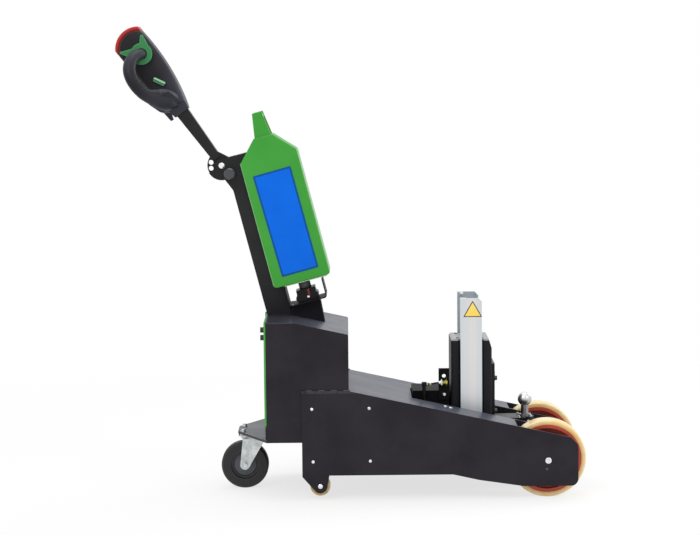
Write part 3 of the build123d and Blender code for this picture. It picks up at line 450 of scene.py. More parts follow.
# Castor carrier bolts: four M8 studs clamp the castor's plate under the carrier through spacers, with their
# nuts below. The rear pair are bolts with heads above, the front pair are welded into the housing's edge.
castor_bolts = [(-0.284, 0.040), (-0.284, -0.040), (-0.224, 0.040), (-0.224, -0.040)]
carrier_top = 0.157
castor_plate_underside = 0.144
over = [facing((x, y, carrier_top), (0.0, 0.0, 1.0), x + y) for x, y in castor_bolts[:2]]
under = [facing((x, y, castor_plate_underside), (0.0, 0.0, -1.0), x - y) for x, y in castor_bolts]
fasten("castor_bolts", hex_bolt(0.0065, 0.0060, 0.0014), over + under, zinc_plate)

# Castor: a pressed steel fork, zinc plated, that swivels on a double ball race under its top plate.
# The wheel is a smooth grey moulded hub, with a groove round its dish and a dark elastic tread bonded on.
castor_centre = Vector((-0.282, 0.0, 0.0625))
fork_face = 0.024
pressed_zinc = plated("pressed_zinc", (0.66, 0.70, 0.70), 0.38)
dress(pressed_zinc, "castor_mount", "castor_fork", "castor_axle")
fork_places = both_sides(castor_centre.xz, fork_face, 0.3)
fasten("castor_nuts", hex_bolt(0.0078, 0.0066, 0.0012), fork_places, zinc_plate, "castor_swivel")
swivel_axis = (-0.254, 0.0, castor_plate_underside)
race_ring = turned([
    (0.0272, -0.0010), (0.0284, -0.0022), (0.0290, -0.0050), (0.0284, -0.0078), (0.0272, -0.0090),
])
fasten("castor_race", race_ring, [facing(swivel_axis, (0.0, 0.0, 1.0))], pressed_zinc)

hub_grey = (0.082, 0.090, 0.106)
hub_shade_dark = (0.010, 0.010, 0.012)
moulded_hub = Finish("moulded_hub", 0.42)
hub_reach = moulded_hub.reach(castor_centre, 1)
hub_cloud = moulded_hub.noise(50.0, 4.0, 0.6)
# Painted shade: the hub darkens outward from its grey centre and is near black in its groove. A thin painted
# highlight ring runs just outside the groove.
outer_shade = hub_reach.ramp(0.0160, 0.0290)
groove_and_its_shade = hub_reach.ramp(0.0290, 0.0312)
hub_rim_highlight = hub_reach.ramp(0.0338, 0.0344)
hub_rim_highlight = hub_rim_highlight * hub_reach.ramp(0.0350, 0.0356, 1.0, 0.0)
moulded_hub.wear(
    Base_Color=(groove_and_its_shade * 0.65 + outer_shade * 0.35 - hub_rim_highlight * 0.4).mix(hub_grey, hub_shade_dark),
    Roughness=hub_cloud.middle(0.34, 0.52),
    Normal=(1 - groove_and_its_shade).bump(0.0012, 0.0006),
)
dress(moulded_hub, "castor_hub")

tread_dark = (0.020, 0.0195, 0.020)
tread_dust = (0.070, 0.066, 0.062)
elastic_tread = Finish("elastic_tread", 0.62, Specular_IOR_Level=0.35)
tread_reach = elastic_tread.reach(castor_centre, 1)
dust = elastic_tread.noise(90.0, 5.0, 0.7).ramp(0.45, 0.7)
rolled = tread_reach.ramp(0.058, 0.062)
elastic_tread.wear(
    Base_Color=(dust * (0.25 + rolled * 0.5)).mix(tread_dark, tread_dust),
    Roughness=dust.ramp(0.0, 1.0, 0.52, 0.74),
    Normal=elastic_tread.noise(1100.0, 3.0).bump(0.00010, 0.0010),
)
dress(elastic_tread, "castor_tyre")

# Drive wheels and rollers: cast iron hubs in red oxide paint with cream polyurethane cast on. The tread
# shades to orange where it is thin and thick with use, and it carries faint scuffs round its face.
drive_centre = Vector((axle_end[0], 0.0, axle_end[1]))
cream = (0.90, 0.66, 0.28)
amber = (0.80, 0.33, 0.06)
pale = (0.93, 0.79, 0.47)


def polyurethane(name, centre, radius, round_off):
    """Cream tread that turns amber towards its edges and its bond."""
    tread = Finish(name, 0.4, Subsurface_Weight=0.12, Subsurface_Scale=0.004, Coat_Weight=0.15)
    spread = tread.reach(centre, 1)
    cloud = tread.noise(22.0, 4.0, 0.6)
    scuff = tread.noise(30.0, 5.0, 0.7, (1.0, 12.0, 1.0)).ramp(0.5, 0.75)
    inner = spread.ramp(radius * 0.865, radius * 0.97, 1.0, 0.0)
    face = cloud.middle().mix(pale, cream)
    return tread.wear(
        Base_Color=(inner * 0.8 + scuff * 0.12).mix(face, amber),
        Roughness=scuff.ramp(0.0, 1.0, 0.32, 0.5),
        Normal=scuff.bump(0.00008, round_off),
    )


drive_tread = polyurethane("drive_tread", drive_centre, 0.100, 0.0012)
dress(drive_tread, "drive_tyre_left", "drive_tyre_right")
roller_centre = Vector((roller_bolt[0], 0.0, roller_bolt[1]))
olive = (0.42, 0.38, 0.20)
roller_tread = polyurethane("roller_tread", roller_centre, 0.026, 0.0008)
grime = roller_tread.noise(70.0, 4.0, 0.7).ramp(0.35, 0.6, 0.35, 0.9)
roller_tread.wear(Base_Color=grime.mix(roller_tread.painted(), olive))
dress(roller_tread, "roller_left", "roller_right")

oxide_red = (0.52, 0.062, 0.026)
oxide_recess_shade = (0.055, 0.010, 0.010)
hub_paint = Finish("hub_paint", 0.42, Coat_Weight=0.1)
casting = hub_paint.noise(260.0, 4.0, 0.7)
hub_spread = hub_paint.reach(drive_centre, 1)
# Painted shade: the hub's recess, inside the red ring, is darkened to a deep maroon.
recess_shade = hub_spread.ramp(0.066, 0.076, 1.0, 0.0)
patch = hub_paint.noise(25.0, 4.0, 0.6).middle()
hub_paint.wear(
    Base_Color=(recess_shade * 0.75 + patch * 0.15).mix(oxide_red, oxide_recess_shade),
    Roughness=casting.middle(0.34, 0.55),
    Normal=casting.bump(0.00022, 0.0012),
)
dress(hub_paint, "drive_hub_left", "drive_hub_right")

# Wheel bolts: five small socket screws in a ring, blacked with oxide, hold each hub to its flange. The same
# ring is on both of its faces, so that a hub fits either side.
wheel_bolt_ring = 0.021
wheel_bolt_count = 5
wheel_middle = 0.1405
wheel_half = 0.025
head_sink = 0.0002
for name, side in sides.items():
    places = []
    for face in (1.0, -1.0):
        for number in range(wheel_bolt_count):
            turn = tau * number / wheel_bolt_count
            spot = drive_centre + Vector((wheel_bolt_ring * cos(turn), 0.0, wheel_bolt_ring * sin(turn)))
            spot.y = side * wheel_middle + face * (wheel_half - head_sink)
            places.append(facing(spot, (0.0, face, 0.0), turn))
    heads = copies(button_screw(0.0040, 0.0013), places)
    fit("wheel_bolts_" + name, heads, black_oxide, "drive_wheel_" + name)

# Drive unit: a cast gearbox across the slot with the motor flanged to its back, in dark grey machine paint.
# The motor has turned cooling rings, and the flange is held by four socket screws.
machine_grey = (0.085, 0.087, 0.092)
machine_paint = Finish("machine_paint", 0.5)
sand_cast = machine_paint.noise(420.0, 4.0, 0.7)
oil = machine_paint.noise(14.0, 4.0, 0.6).ramp(0.4, 0.7)
machine_paint.wear(
    Base_Color=(oil * 0.5).mix(machine_grey, (0.04, 0.04, 0.042)),
    Roughness=oil.ramp(0.0, 1.0, 0.58, 0.34),
    Normal=sand_cast.bump(0.0002, 0.0012),
)
dress(machine_paint, "drive_unit")
motor_rear = 0.290
fin_root = 0.0375
fin_rim = 0.0414
fin_start = motor_rear + 0.020
fin_count = 12
fin_pitch = 0.0078
fin = turned([(fin_root, 0.0), (fin_rim, 0.0006), (fin_rim, 0.0024), (fin_root, 0.0030)], 48)
fin_places = [
    facing((fin_start + fin_pitch * number, 0.0, drive_centre.z), (1.0, 0.0, 0.0))
    for number in range(fin_count)
]
fit("motor_rings", copies(fin, fin_places), machine_paint, "root")
motor_cap = turned([
    (0.0, 0.0030), (0.012, 0.0030), (0.014, 0.0012), (0.030, 0.0012), (0.0345, 0.0), (0.0345, -0.0004),
], 48)
cap_place = [facing((motor_rear, 0.0, drive_centre.z), (-1.0, 0.0, 0.0))]
fit("motor_cap", copies(motor_cap, cap_place), machine_paint, "root")
gearbox_half = 0.042
flange_sheet = 0.010
flange_half = 0.034
flange_face = axle_end[0] - gearbox_half - flange_sheet
flange_places = [
    facing((flange_face, y, axle_end[1] + z), (-1.0, 0.0, 0.0))
    for y in (flange_half, -flange_half)
    for z in (flange_half, -flange_half)
]
fit("flange_screws", copies(button_screw(0.0042, 0.0034), flange_places), black_oxide, "root")

# Guide rails: two bright channels, extruded and satin ground, standing in the slot and bolted to the inner
# plates. Broad soft bands of light are painted down them, cooler at the rear and a little warmer in the
# middle, and the far rail is painted a darker, bluer grey as painted shade.
rail_metal = Finish("rail_metal", 0.38, 0.85)
rail_rear = 0.288
band = rail_metal.along(0).ramp(rail_rear, rail_rear + 0.030)
streak = rail_metal.noise(120.0, 3.0, 0.6, (1.0, 1.0, 0.02)).middle()
hair = rail_metal.noise(2600.0, 2.0, 0.5, (1.0, 1.0, 0.03))
smear = rail_metal.noise(9.0, 4.0, 0.6).ramp(0.35, 0.7)
centre_band = rail_metal.along(0).ramp(rail_rear + 0.036, rail_rear + 0.050, 1.0, 0.0)
rail_light_and_shade = (band * centre_band).mix((0.63, 0.665, 0.685), (0.71, 0.695, 0.700))
shaded_rail = rail_metal.along(1).ramp(-0.060, 0.040)
rail_light_and_shade = shaded_rail.mix(rail_light_and_shade, (0.36, 0.42, 0.46))
rail_metal.wear(
    Base_Color=(streak * 0.20).mix(rail_light_and_shade, (0.56, 0.58, 0.61)),
    Roughness=smear.ramp(0.0, 1.0, 0.34, 0.46),
    Normal=hair.bump(0.00003, 0.0006),
)
dress(rail_metal, "guide_rail_left", "guide_rail_right", "guide_rollers")

# Plain triangle: a printed foil on the right rail, yellow with a thin dark border. It is two layers, the dark
# border below and the yellow field on it, with their corners cut round.
rail_face = 0.085
sign_top = (0.320, 0.5030)
sign_foot = 0.4600
sign_half = 0.0248
sign_border = 0.0024
sign_sheet = 0.0003
sign_spots = [sign_top, (sign_top[0] - sign_half, sign_foot), (sign_top[0] + sign_half, sign_foot)]


def drawn_in(points, rim):
    """The same outline, drawn in by the width of its border."""
    spots = [Vector(point) for point in points]
    middle = sum(spots, Vector((0.0, 0.0))) / len(spots)
    inner = []
    for before, spot, after in zip(spots[-1:] + spots, spots, spots[1:] + spots[:1]):
        normals = []
        for run in (spot - before, after - spot):
            normal = Vector((-run.y, run.x)).normalized()
            normals.append(normal if normal.dot(middle - spot) > 0 else -normal)
        inner.append(spot + (normals[0] + normals[1]) * rim / (1 + normals[0].dot(normals[1])))
    return inner


def foil(points, sheet, corner):
    """A thin flat layer with round corners. Its outline is in X and Z, and it faces -Y."""
    shape = bmesh.new()
    outline = shape.faces.new([shape.verts.new((x, 0.0, z)) for x, z in points])
    bmesh.ops.bevel(
        shape, geom=outline.verts[:], offset=corner, segments=5, profile=0.5, affect="VERTICES", material=-1,
    )
    body = bmesh.ops.extrude_face_region(shape, geom=shape.faces[:])
    front = [item for item in body["geom"] if isinstance(item, bmesh.types.BMVert)]
    bmesh.ops.translate(shape, vec=(0.0, -sheet, 0.0), verts=front)
    return shape


printed_yellow = Finish("printed_yellow", 0.35, Coat_Weight=0.2)
# The yellow grows paler towards the top of the sign, with a faint random cloud.
paler_towards_top = printed_yellow.along(2).ramp(sign_foot, sign_top[1])
yellow_shift = paler_towards_top * 0.7 + printed_yellow.noise(120.0, 3.0) * 0.2
printed_yellow.wear(Base_Color=yellow_shift.mix((0.95, 0.66, 0.08), (0.94, 0.72, 0.20)))


def two_tone(name, roughness, first, second, cloud, detail=3.0, grain=None, **constants):
    """A print or moulding in two close colours, with a grain given as its fineness, depth and round-off."""
    skin = Finish(name, roughness, **constants)
    skin.wear(Base_Color=skin.noise(cloud, detail).mix(first, second))
    if grain:
        skin.wear(Normal=skin.noise(grain[0]).bump(*grain[1:]))
    return skin


printed_dark = two_tone(
    "printed_dark", 0.38, (0.016, 0.014, 0.012), (0.034, 0.030, 0.024), 150.0, Coat_Weight=0.2,
)
for name, points, sheet, corner, finish in (
    ("border", sign_spots, sign_sheet, 0.0030, printed_dark),
    ("field", drawn_in(sign_spots, sign_border), 1.5 * sign_sheet, 0.0016, printed_yellow),
):
    layer = foil(points, sheet, corner)
    bmesh.ops.translate(layer, vec=(0.0, -rail_face, 0.0), verts=layer.verts)
    fit("blank_triangle_" + name, layer, finish, "root")

# Rail fixings: the rails' feet are bolted through the inner plates with hexagon bolts, and each rail's top
# rear corner has a small white plastic stop that keeps the guide rollers in.
rail_bolts = [(0.300, 0.150), (0.332, 0.150), (0.300, 0.196), (0.332, 0.196)]
inner_plate_face = 0.091
bolt_places = [
    facing((x, side * inner_plate_face, z), (0.0, side, 0.0), x)
    for side in sides.values()
    for x, z in rail_bolts
]
fasten("rail_bolts", hex_bolt(0.0065, 0.0055, 0.0012), bolt_places, zinc_plate)
stop_white = two_tone(
    "stop_white", 0.4, (0.78, 0.79, 0.78), (0.66, 0.67, 0.67), 200.0, grain=(1600.0, 0.00004),
)


def block(size, round_off, segments):
    """A box with rounded edges."""
    shape = bmesh.new()
    bmesh.ops.create_cube(shape, size=1.0)
    bmesh.ops.scale(shape, vec=size, verts=shape.verts)
    bmesh.ops.bevel(
        shape, geom=shape.edges[:], offset=round_off, segments=segments,
        profile=0.5, affect="EDGES", material=-1,
    )
    return shape


stop = block((0.010, 0.0135, 0.006), 0.0012, 2)
stop_places = [Matrix.Translation((0.2991, side * 0.0722, 0.5060)) for side in sides.values()]
fit("rail_stops", copies(stop, stop_places), stop_white, "root")

# Lift column: a black anodised extrusion that runs between the rails, with a light grey moulded cap screwed
# on top. A steel plate in front of it, held by four bolts, carries the hitch arm.
anodised = Finish("anodised", 0.46, Specular_IOR_Level=0.10)
draw_lines = anodised.noise(900.0, 3.0, 0.5, (1.0, 1.0, 0.02))
rubbed = anodised.edges(0.0014)
anodised.wear(
    Base_Color=(rubbed * 0.35).mix((0.0145, 0.0145, 0.0185), (0.070, 0.070, 0.078)),
    Roughness=draw_lines.middle(0.42, 0.54),
    Normal=draw_lines.bump(0.00004, 0.0009),
)
dress(anodised, "lift_column")
cap_grey = Finish("cap_grey", 0.38)
cap_grain = cap_grey.noise(1300.0, 2.0)
cap_grey.wear(
    Base_Color=cap_grey.noise(30.0, 3.0).mix((0.37, 0.37, 0.375), (0.30, 0.30, 0.305)),
    Roughness=cap_grain.middle(0.34, 0.46),
    Normal=cap_grain.bump(0.00005, 0.0010),
)
dress(cap_grey, "lift_cap")
cap_top = 0.400
cap_screws = [facing((x, y, cap_top), (0.0, 0.0, 1.0)) for x in (0.282, 0.345) for y in (0.046, -0.046)]
fasten("cap_screws", button_screw(0.0042, 0.0020), cap_screws, black_oxide, "hitch")

black = (0.0068, 0.0066, 0.0074)
black_rub = (0.040, 0.040, 0.044)
black_foot_shade = (0.0016, 0.0014, 0.0036)
column_coat = powder_coat("column_coat", black, black_rub, 0.38)
# Painted shade: the coat darkens to a bluer black from 0.64 m down to 0.47 m and stays dark below, at the
# column's foot and on the hitch arm.
column_foot_shade = column_coat.along(2).ramp(0.470, 0.640, 0.75, 0.0)
column_coat.wear(Base_Color=column_foot_shade.mix(column_coat.painted(), black_foot_shade))
dress(column_coat, "column", "hitch_arm", "tiller_arm")
plate_face = 0.379
plate_bolts = [
    facing((plate_face, y, z), (1.0, 0.0, 0.0), y) for y in (0.042, -0.042) for z in (0.206, 0.293)
]
fasten("plate_bolts", hex_bolt(0.0065, 0.0070, 0.0014), plate_bolts, black_oxide, "hitch")

# Hitch: a satin chromed ball on a turned neck, pressed into the arm's end with a nut below it and four small
# bolts beside it. Its underside is darkened as a painted dark reflection.
chrome = Finish("chrome", 0.34, 1.0)
ball_cloud = chrome.noise(60.0, 4.0, 0.7)
ball_underside_shade = chrome.along(2).ramp(0.212, 0.236, 1.0, 0.0)
chrome.wear(
    Base_Color=(ball_underside_shade * 0.75).mix((0.62, 0.62, 0.64), (0.20, 0.19, 0.19)),
    Roughness=ball_cloud.middle(0.30, 0.44),
    Normal=chrome.noise(900.0, 2.0, 0.5, (1.0, 1.0, 6.0)).bump(0.00002),
)
dress(chrome, "hitch_ball")
arm_top = 0.185
arm_bolts = [(0.445, -0.0265), (0.4765, -0.0135), (0.445, 0.0265), (0.4765, 0.0135)]
arm_places = [facing((x, y, arm_top), (0.0, 0.0, 1.0), x) for x, y in arm_bolts]
fasten("arm_bolts", hex_bolt(0.0034, 0.0042, 0.0008), arm_places, zinc_plate, "hitch")
arm_sheet = 0.008
nut_place = [facing((0.462, 0.0, arm_top - arm_sheet), (0.0, 0.0, -1.0))]
fasten("ball_nut", hex_bolt(0.0130, 0.0100, 0.0020), nut_place, zinc_plate, "hitch")

# Mast base: a matt black box of steel sheet between the inner plates, bolted down along its edges by bright
# bolts. Its near black colour, which the sensor bracket shares, is painted shade for the shadow between the
# inner plates.
black_in_shade = (0.0018, 0.0014, 0.0020)
shaded_flat_black = powder_coat("shaded_flat_black", black_in_shade, (0.012, 0.012, 0.013), 0.55, 0.08)
dress(shaded_flat_black, "mast_base", "sensor_bracket")
base_top = 0.202
base_bolts = [(0.171, 0.0735), (0.183, 0.0735), (0.171, -0.0760), (0.246, -0.0760), (0.246, 0.0735)]
base_places = [facing((x, y, base_top), (0.0, 0.0, 1.0), y) for x, y in base_bolts]
fasten("base_bolts", hex_bolt(0.0055, 0.0052, 0.0012), base_places, zinc_bright)

# Position sensor: a threaded brass barrel with a bright nose in the bracket's saddle, with its lock nut.
# Its thin lead has a yellow ring and runs to an angled black plug, and the plug's cable goes down to a gland.
sensor_centre = Vector((0.0, -0.073, 0.286))
thread_pitch = 0.001
nose_end = 0.2400
brass = Finish("brass", 0.3, 1.0)
thread = brass.node("Math", {"operation": "SINE"}, {0: brass.along(0) * (tau / thread_pitch)})
nose = brass.along(0).ramp(nose_end, nose_end + 0.0012, 1.0, 0.0)
brass.wear(
    Base_Color=nose.mix((0.62, 0.56, 0.14), (0.78, 0.78, 0.80)),
    Roughness=brass.noise(300.0, 3.0).middle(0.24, 0.4),
    Normal=(thread * (1 - nose)).bump(0.00022),
)
dress(brass, "sensor")
lock_nut = turned([
    (0.0058, 0.0), (0.0092, 0.0), (0.0100, 0.0006), (0.0100, 0.0030), (0.0092, 0.0036), (0.0058, 0.0036),
], 6)
nut_spots = [(0.2488, 0.2), (0.2369, 0.5)]
nut_places = [
    facing((x, sensor_centre.y, sensor_centre.z), (1.0, 0.0, 0.0), turn) for x, turn in nut_spots
]
fit("sensor_nuts", copies(lock_nut, nut_places), brass, "root")
jacket = two_tone(
    "jacket", 0.5, (0.0035, 0.0035, 0.0040), (0.008, 0.008, 0.009), 160.0,
    grain=(1500.0, 0.00004), Specular_IOR_Level=0.15,
)
dress(jacket, "sensor_lead", "sensor_plug")
lead_line = 0.2820
ring_yellow = two_tone("ring_yellow", 0.4, (0.58, 0.62, 0.05), (0.44, 0.50, 0.04), 400.0, 2.0)
lead_ring = turned([
    (0.0019, 0.0), (0.0034, 0.0002), (0.0036, 0.0018), (0.0034, 0.0034), (0.0019, 0.0036),
], 24)
plug_collar = turned([
    (0.0045, 0.0), (0.0056, 0.0003), (0.0056, 0.0012), (0.0050, 0.0016),
    (0.0056, 0.0020), (0.0056, 0.0030), (0.0045, 0.0033),
], 24)
for name, x, shape, finish in (
    ("lead_ring", 0.2075, lead_ring, ring_yellow),
    ("plug_collar", 0.1992, plug_collar, zinc_plate),
):
    place = [facing((x, sensor_centre.y, lead_line), (1.0, 0.0, 0.0))]
    fit(name, copies(shape, place), finish, "root")
bracket_screw = [facing((0.246, -0.067, 0.254), (0.0, -1.0, 0.0))]
fasten("bracket_screw", button_screw(0.0046, 0.0026), bracket_screw, zinc_bright)

# Column: a rectangular steel tube that leans back, welded to the housing's roof and painted black, with
# two cheeks at its head for the tiller's pivot. The weld runs along the front and both sides of its foot.
lean = radians(14.5)
column_foot = Vector((-0.217, 0.0, 0.462))
column_frame = Matrix.Translation(column_foot) @ Matrix.Rotation(-lean, 4, "Y")
column_across = (cos(lean), sin(lean))
column_along = (-sin(lean), cos(lean))
column_half = 0.025
column_depth = 0.062
foot_overlap = 0.002
foot_bead = 0.0026
foot_line = column_foot.z + 0.0006
foot_rear = column_foot.x
foot_front = foot_rear + column_depth / cos(lean)
foot_weld = merged(
    copies(weld_bead(2 * (column_half + foot_overlap), foot_bead, 22), [
        facing((foot_front, -column_half - foot_overlap, foot_line), (0.0, 1.0, 0.0)),
    ]),
    copies(weld_bead(foot_front - foot_rear - foot_overlap, foot_bead, 26), [
        facing((foot_rear + foot_overlap, side * column_half, foot_line), (1.0, 0.0, 0.0))
        for side in sides.values()
    ]),
)
fit("foot_weld", foot_weld, column_coat, "root")

# Tray and socket: a black sheet tray bent round the battery's foot, on a block that is welded to the roof and
# to the column. The battery's lobed connector stands on it, moulded in black, with a red latch and a screw.
tray_black = (0.0042, 0.0036, 0.0068)
tray_coat = powder_coat("tray_coat", tray_black, (0.026, 0.025, 0.034), 0.50, 0.10)
dress(tray_coat, "battery_tray", "tray_pedestal")


def up_column(across, out, along):
    """A place on each side of the column that looks up it, given across, out from and along it."""
    return [column_frame @ facing((across, side * out, along), (0.0, 0.0, 1.0)) for side in sides.values()]


corner_beads = copies(weld_bead(0.031, 0.0046, 8), up_column(0.066, 0.0225, -0.024))
fit("corner_welds", corner_beads, tray_coat, "root")
fasten("tray_screws", button_screw(0.0042, 0.0022), up_column(0.072, 0.040, 0.011), zinc_plate)
collar_line = 0.0440
connector = Finish("connector", 0.34, Specular_IOR_Level=0.18)
connector_grain = connector.noise(1200.0, 2.0)
collar = connector.toward(column_foot, column_along).ramp(collar_line, collar_line + 0.0010)
connector_cloud = connector.noise(40.0, 3.0)
moulded_black = connector_cloud.mix((0.0035, 0.0030, 0.0042), (0.010, 0.009, 0.012))
connector.wear(
    Base_Color=collar.mix(moulded_black, (0.130, 0.122, 0.122)),
    Roughness=connector_grain.middle(0.28, 0.44),
    Normal=connector_grain.bump(0.00005, 0.0010),
)
dress(connector, "battery_socket")
seal_red = two_tone("seal_red", 0.4, (0.20, 0.012, 0.012), (0.12, 0.010, 0.010), 300.0, 2.0)
latch = block((0.0060, 0.0010, 0.0160), 0.0004, 1)
latch_places = [column_frame @ Matrix.Translation((0.1213, side * 0.0306, 0.0330)) for side in sides.values()]
fit("socket_seals", copies(latch, latch_places), seal_red, "root")
contact_places = [column_frame @ place for place in both_sides((0.1175, 0.0205), 0.0305)]
fasten("socket_screws", button_screw(0.0034, 0.0012), contact_places, zinc_bright)

# Battery: two moulded half shells in leaf green with a satin grain, joined down the middle, that straddle
# the column. The handle is moulded in, and a paler strip of the inner liner shows round the foot.
shell_green = (0.030, 0.292, 0.022)
shell_light = (0.085, 0.430, 0.072)
shell_highlight = (0.300, 0.560, 0.290)
battery_half = 0.055
battery_rear = 0.037
battery_front = 0.1905
handle_foot = 0.930
battery_shell = Finish("battery_shell", 0.40, Specular_IOR_Level=0.3)
stipple = battery_shell.noise(1000.0, 3.0)
seam_dip = abs(battery_shell.along(1)).ramp(0.0004, 0.0010)
tone = battery_shell.noise(5.0, 3.0).middle(0.0, 0.3)
shell_face = tone.mix(shell_green, shell_light)
fore = battery_shell.toward(column_foot, column_across)
# Painted highlights: pale green lines run along the rear and front edges, the handle's forward faces and
# every edge of the shell.
rear_edge_highlight = fore.ramp(battery_rear + 0.0006, battery_rear + 0.0026, 1.0, 0.0)
front_edge_highlight = fore.ramp(battery_front - 0.0030, battery_front - 0.0008)
handle_front_highlight = battery_shell.looks(0).ramp(0.75, 0.92)
handle_front_highlight = handle_front_highlight * battery_shell.along(2).ramp(handle_foot, handle_foot + 0.010)
outline = rear_edge_highlight * 0.75 + (front_edge_highlight + handle_front_highlight) * 0.60 + battery_shell.edges(0.0025) * 0.5
shell_with_highlights = outline.mix(shell_face, shell_highlight)
battery_shell.wear(
    Base_Color=(1 - seam_dip).mix(shell_with_highlights, (0.012, 0.09, 0.010)),
    Roughness=stipple.middle(0.34, 0.48),
    Normal=(stipple * 0.1 + seam_dip).bump(0.0006, 0.0016),
)
dress(battery_shell, "battery_case", "battery_handle")

liner = two_tone("liner", 0.45, (0.50, 0.70, 0.48), (0.38, 0.60, 0.36), 60.0, grain=(1200.0, 0.00004))
liner_place = column_frame @ Matrix.Translation((0.123, 0.0, 0.0650))
foot_strip = block((0.114, 0.104, 0.0030), 0.0010, 2)
fit("battery_liner", copies(foot_strip, [liner_place]), liner, "root")

# Battery panel: a printed polycarbonate sheet on each flank, plain blue with a darker blue border.
# It is bonded flat on the shell, with rounded corners.
panel_spots = [(0.0605, 0.3645), (0.1630, 0.3658), (0.1645, 0.0915), (0.0655, 0.0905)]
panel_sheet = 0.0005
panel_border = 0.0050
print_shine = 0.12
panel_blue = Finish("panel_blue", 0.42, Specular_IOR_Level=print_shine)
panel_cloud = panel_blue.noise(12.0, 3.0).middle()
panel_blue.wear(
    Base_Color=panel_cloud.mix((0.0006, 0.128, 0.70), (0.0008, 0.145, 0.76)),
    Normal=panel_blue.noise(700.0, 2.0).bump(0.00003),
)
border_blue = two_tone(
    "border_blue", 0.42, (0.004, 0.072, 0.26), (0.006, 0.090, 0.31), 200.0, 2.0,
    Specular_IOR_Level=print_shine,
)
for name, side in sides.items():
    for layer_name, points, sheet, corner, finish in (
        ("battery_border_", panel_spots, panel_sheet, 0.0030, border_blue),
        ("battery_panel_", drawn_in(panel_spots, panel_border), 1.4 * panel_sheet, 0.0020, panel_blue),
    ):
        layer = foil(points, sheet, corner)
        if side > 0:
            bmesh.ops.scale(layer, vec=(1.0, -1.0, 1.0), verts=layer.verts)
        bmesh.ops.translate(layer, vec=(0.0, side * battery_half, 0.0), verts=layer.verts)
        bmesh.ops.transform(layer, matrix=column_frame, verts=layer.verts)
        fit(layer_name + name, layer, finish, "root")

# Tiller pivot: a ground pin with a button screw in each end, and a spring plunger with a dark grey knob that
# drops into the index disc. The knob is turned, with a ring of grip ribs.
pivot_across = -0.012
pivot_along = 0.412
pivot = column_frame @ Vector((pivot_across, 0.0, pivot_along))
tiller_lean = radians(36.0)
tiller_frame = Matrix.Translation(pivot) @ Matrix.Rotation(-tiller_lean, 4, "Y")
tiller_across = (cos(tiller_lean), sin(tiller_lean))
tiller_along = (-sin(tiller_lean), cos(tiller_lean))
pin_end = 0.028
dress(ground_steel, "tiller_pin")
fasten("pin_screws", button_screw(0.0074, 0.0032), both_sides(pivot.xz, pin_end), zinc_bright)
index_ring = 0.030
index_turn = radians(-59.5)
knob_face = -0.0385
knob_plastic = two_tone(
    "knob_plastic", 0.26, (0.028, 0.028, 0.037), (0.042, 0.042, 0.054), 80.0,
    grain=(1400.0, 0.00003, 0.0010), Coat_Weight=0.3,
)
dress(knob_plastic, "index_knob")
knob_centre = column_frame @ Vector((
    pivot_across + index_ring * cos(index_turn), knob_face, pivot_along + index_ring * sin(index_turn),
))
rib_count = 16
rib_ring = 0.0148
rib_sink = -0.0010
grip_rib = turned([(0.0, -0.0042), (0.0011, -0.0034), (0.0013, 0.0), (0.0011, 0.0034), (0.0, 0.0042)], 8)
rib_turns = [tau * number / rib_count for number in range(rib_count)]
knob_frame = facing(knob_centre, (0.0, -1.0, 0.0))
rib_places = [
    knob_frame @ Matrix.Translation((rib_ring * cos(turn), rib_ring * sin(turn), rib_sink))
    for turn in rib_turns
]
fit("knob_ribs", copies(grip_rib, rib_places), knob_plastic, "root")

# Tiller head: two moulded shells in black nylon with a fine grain, closed round the arm's end by screws. A
# painted highlight lightens it to slate on the wide shoulders and the front, its edges are a little lighter,
# and a dark red seal shows at its end, under the belly pad.
pad_centre = tiller_frame @ Vector((0.0074, 0.0, 0.3708))
pad_rim = 0.0593
pad_way = (-0.714, 0.693)
nylon = Finish("nylon", 0.46, Specular_IOR_Level=0.25)
nylon_grain = nylon.noise(1300.0, 3.0)
nylon_tone = nylon.noise(9.0, 3.0).middle()
parting_dip = abs(nylon.along(1)).ramp(0.0003, 0.0009)
# Painted highlight: slate towards the head's foot and along its front.
foot_highlight = nylon.toward(pivot, tiller_along).ramp(0.205, 0.300, 1.0, 0.0)
front_slate_highlight = nylon.toward(pivot, tiller_across).ramp(0.004, 0.034)
seal_band = nylon.toward(pad_centre, pad_way).ramp(0.0240, 0.0260)
seal_band = seal_band * nylon.reach(pad_centre, 1).ramp(pad_rim - 0.0138, pad_rim - 0.0130)
wear_and_highlight = nylon.edges(0.0022) * 0.5 + nylon_tone * 0.10 + foot_highlight * 0.50 + front_slate_highlight * 0.18
nylon_face = wear_and_highlight.mix((0.0042, 0.0038, 0.0052), (0.055, 0.056, 0.078))
nylon.wear(
    Base_Color=seal_band.mix(nylon_face, (0.115, 0.010, 0.012)),
    Roughness=nylon_grain.middle(0.38, 0.54),
    Normal=(nylon_grain * 0.2 + parting_dip).bump(0.0005, 0.0016),
)
dress(nylon, "tiller_head")
horn_face = 0.108
head_spots = [(-0.030, 0.2475), (-0.008, 0.2445)]
head_screws = [
    tiller_frame @ facing((across, side * horn_face, along), (0.0, side, 0.0))
    for side in sides.values()
    for across, along in head_spots
]
fit("head_screws", copies(button_screw(0.0026, 0.0010), head_screws), black_oxide, "tiller")

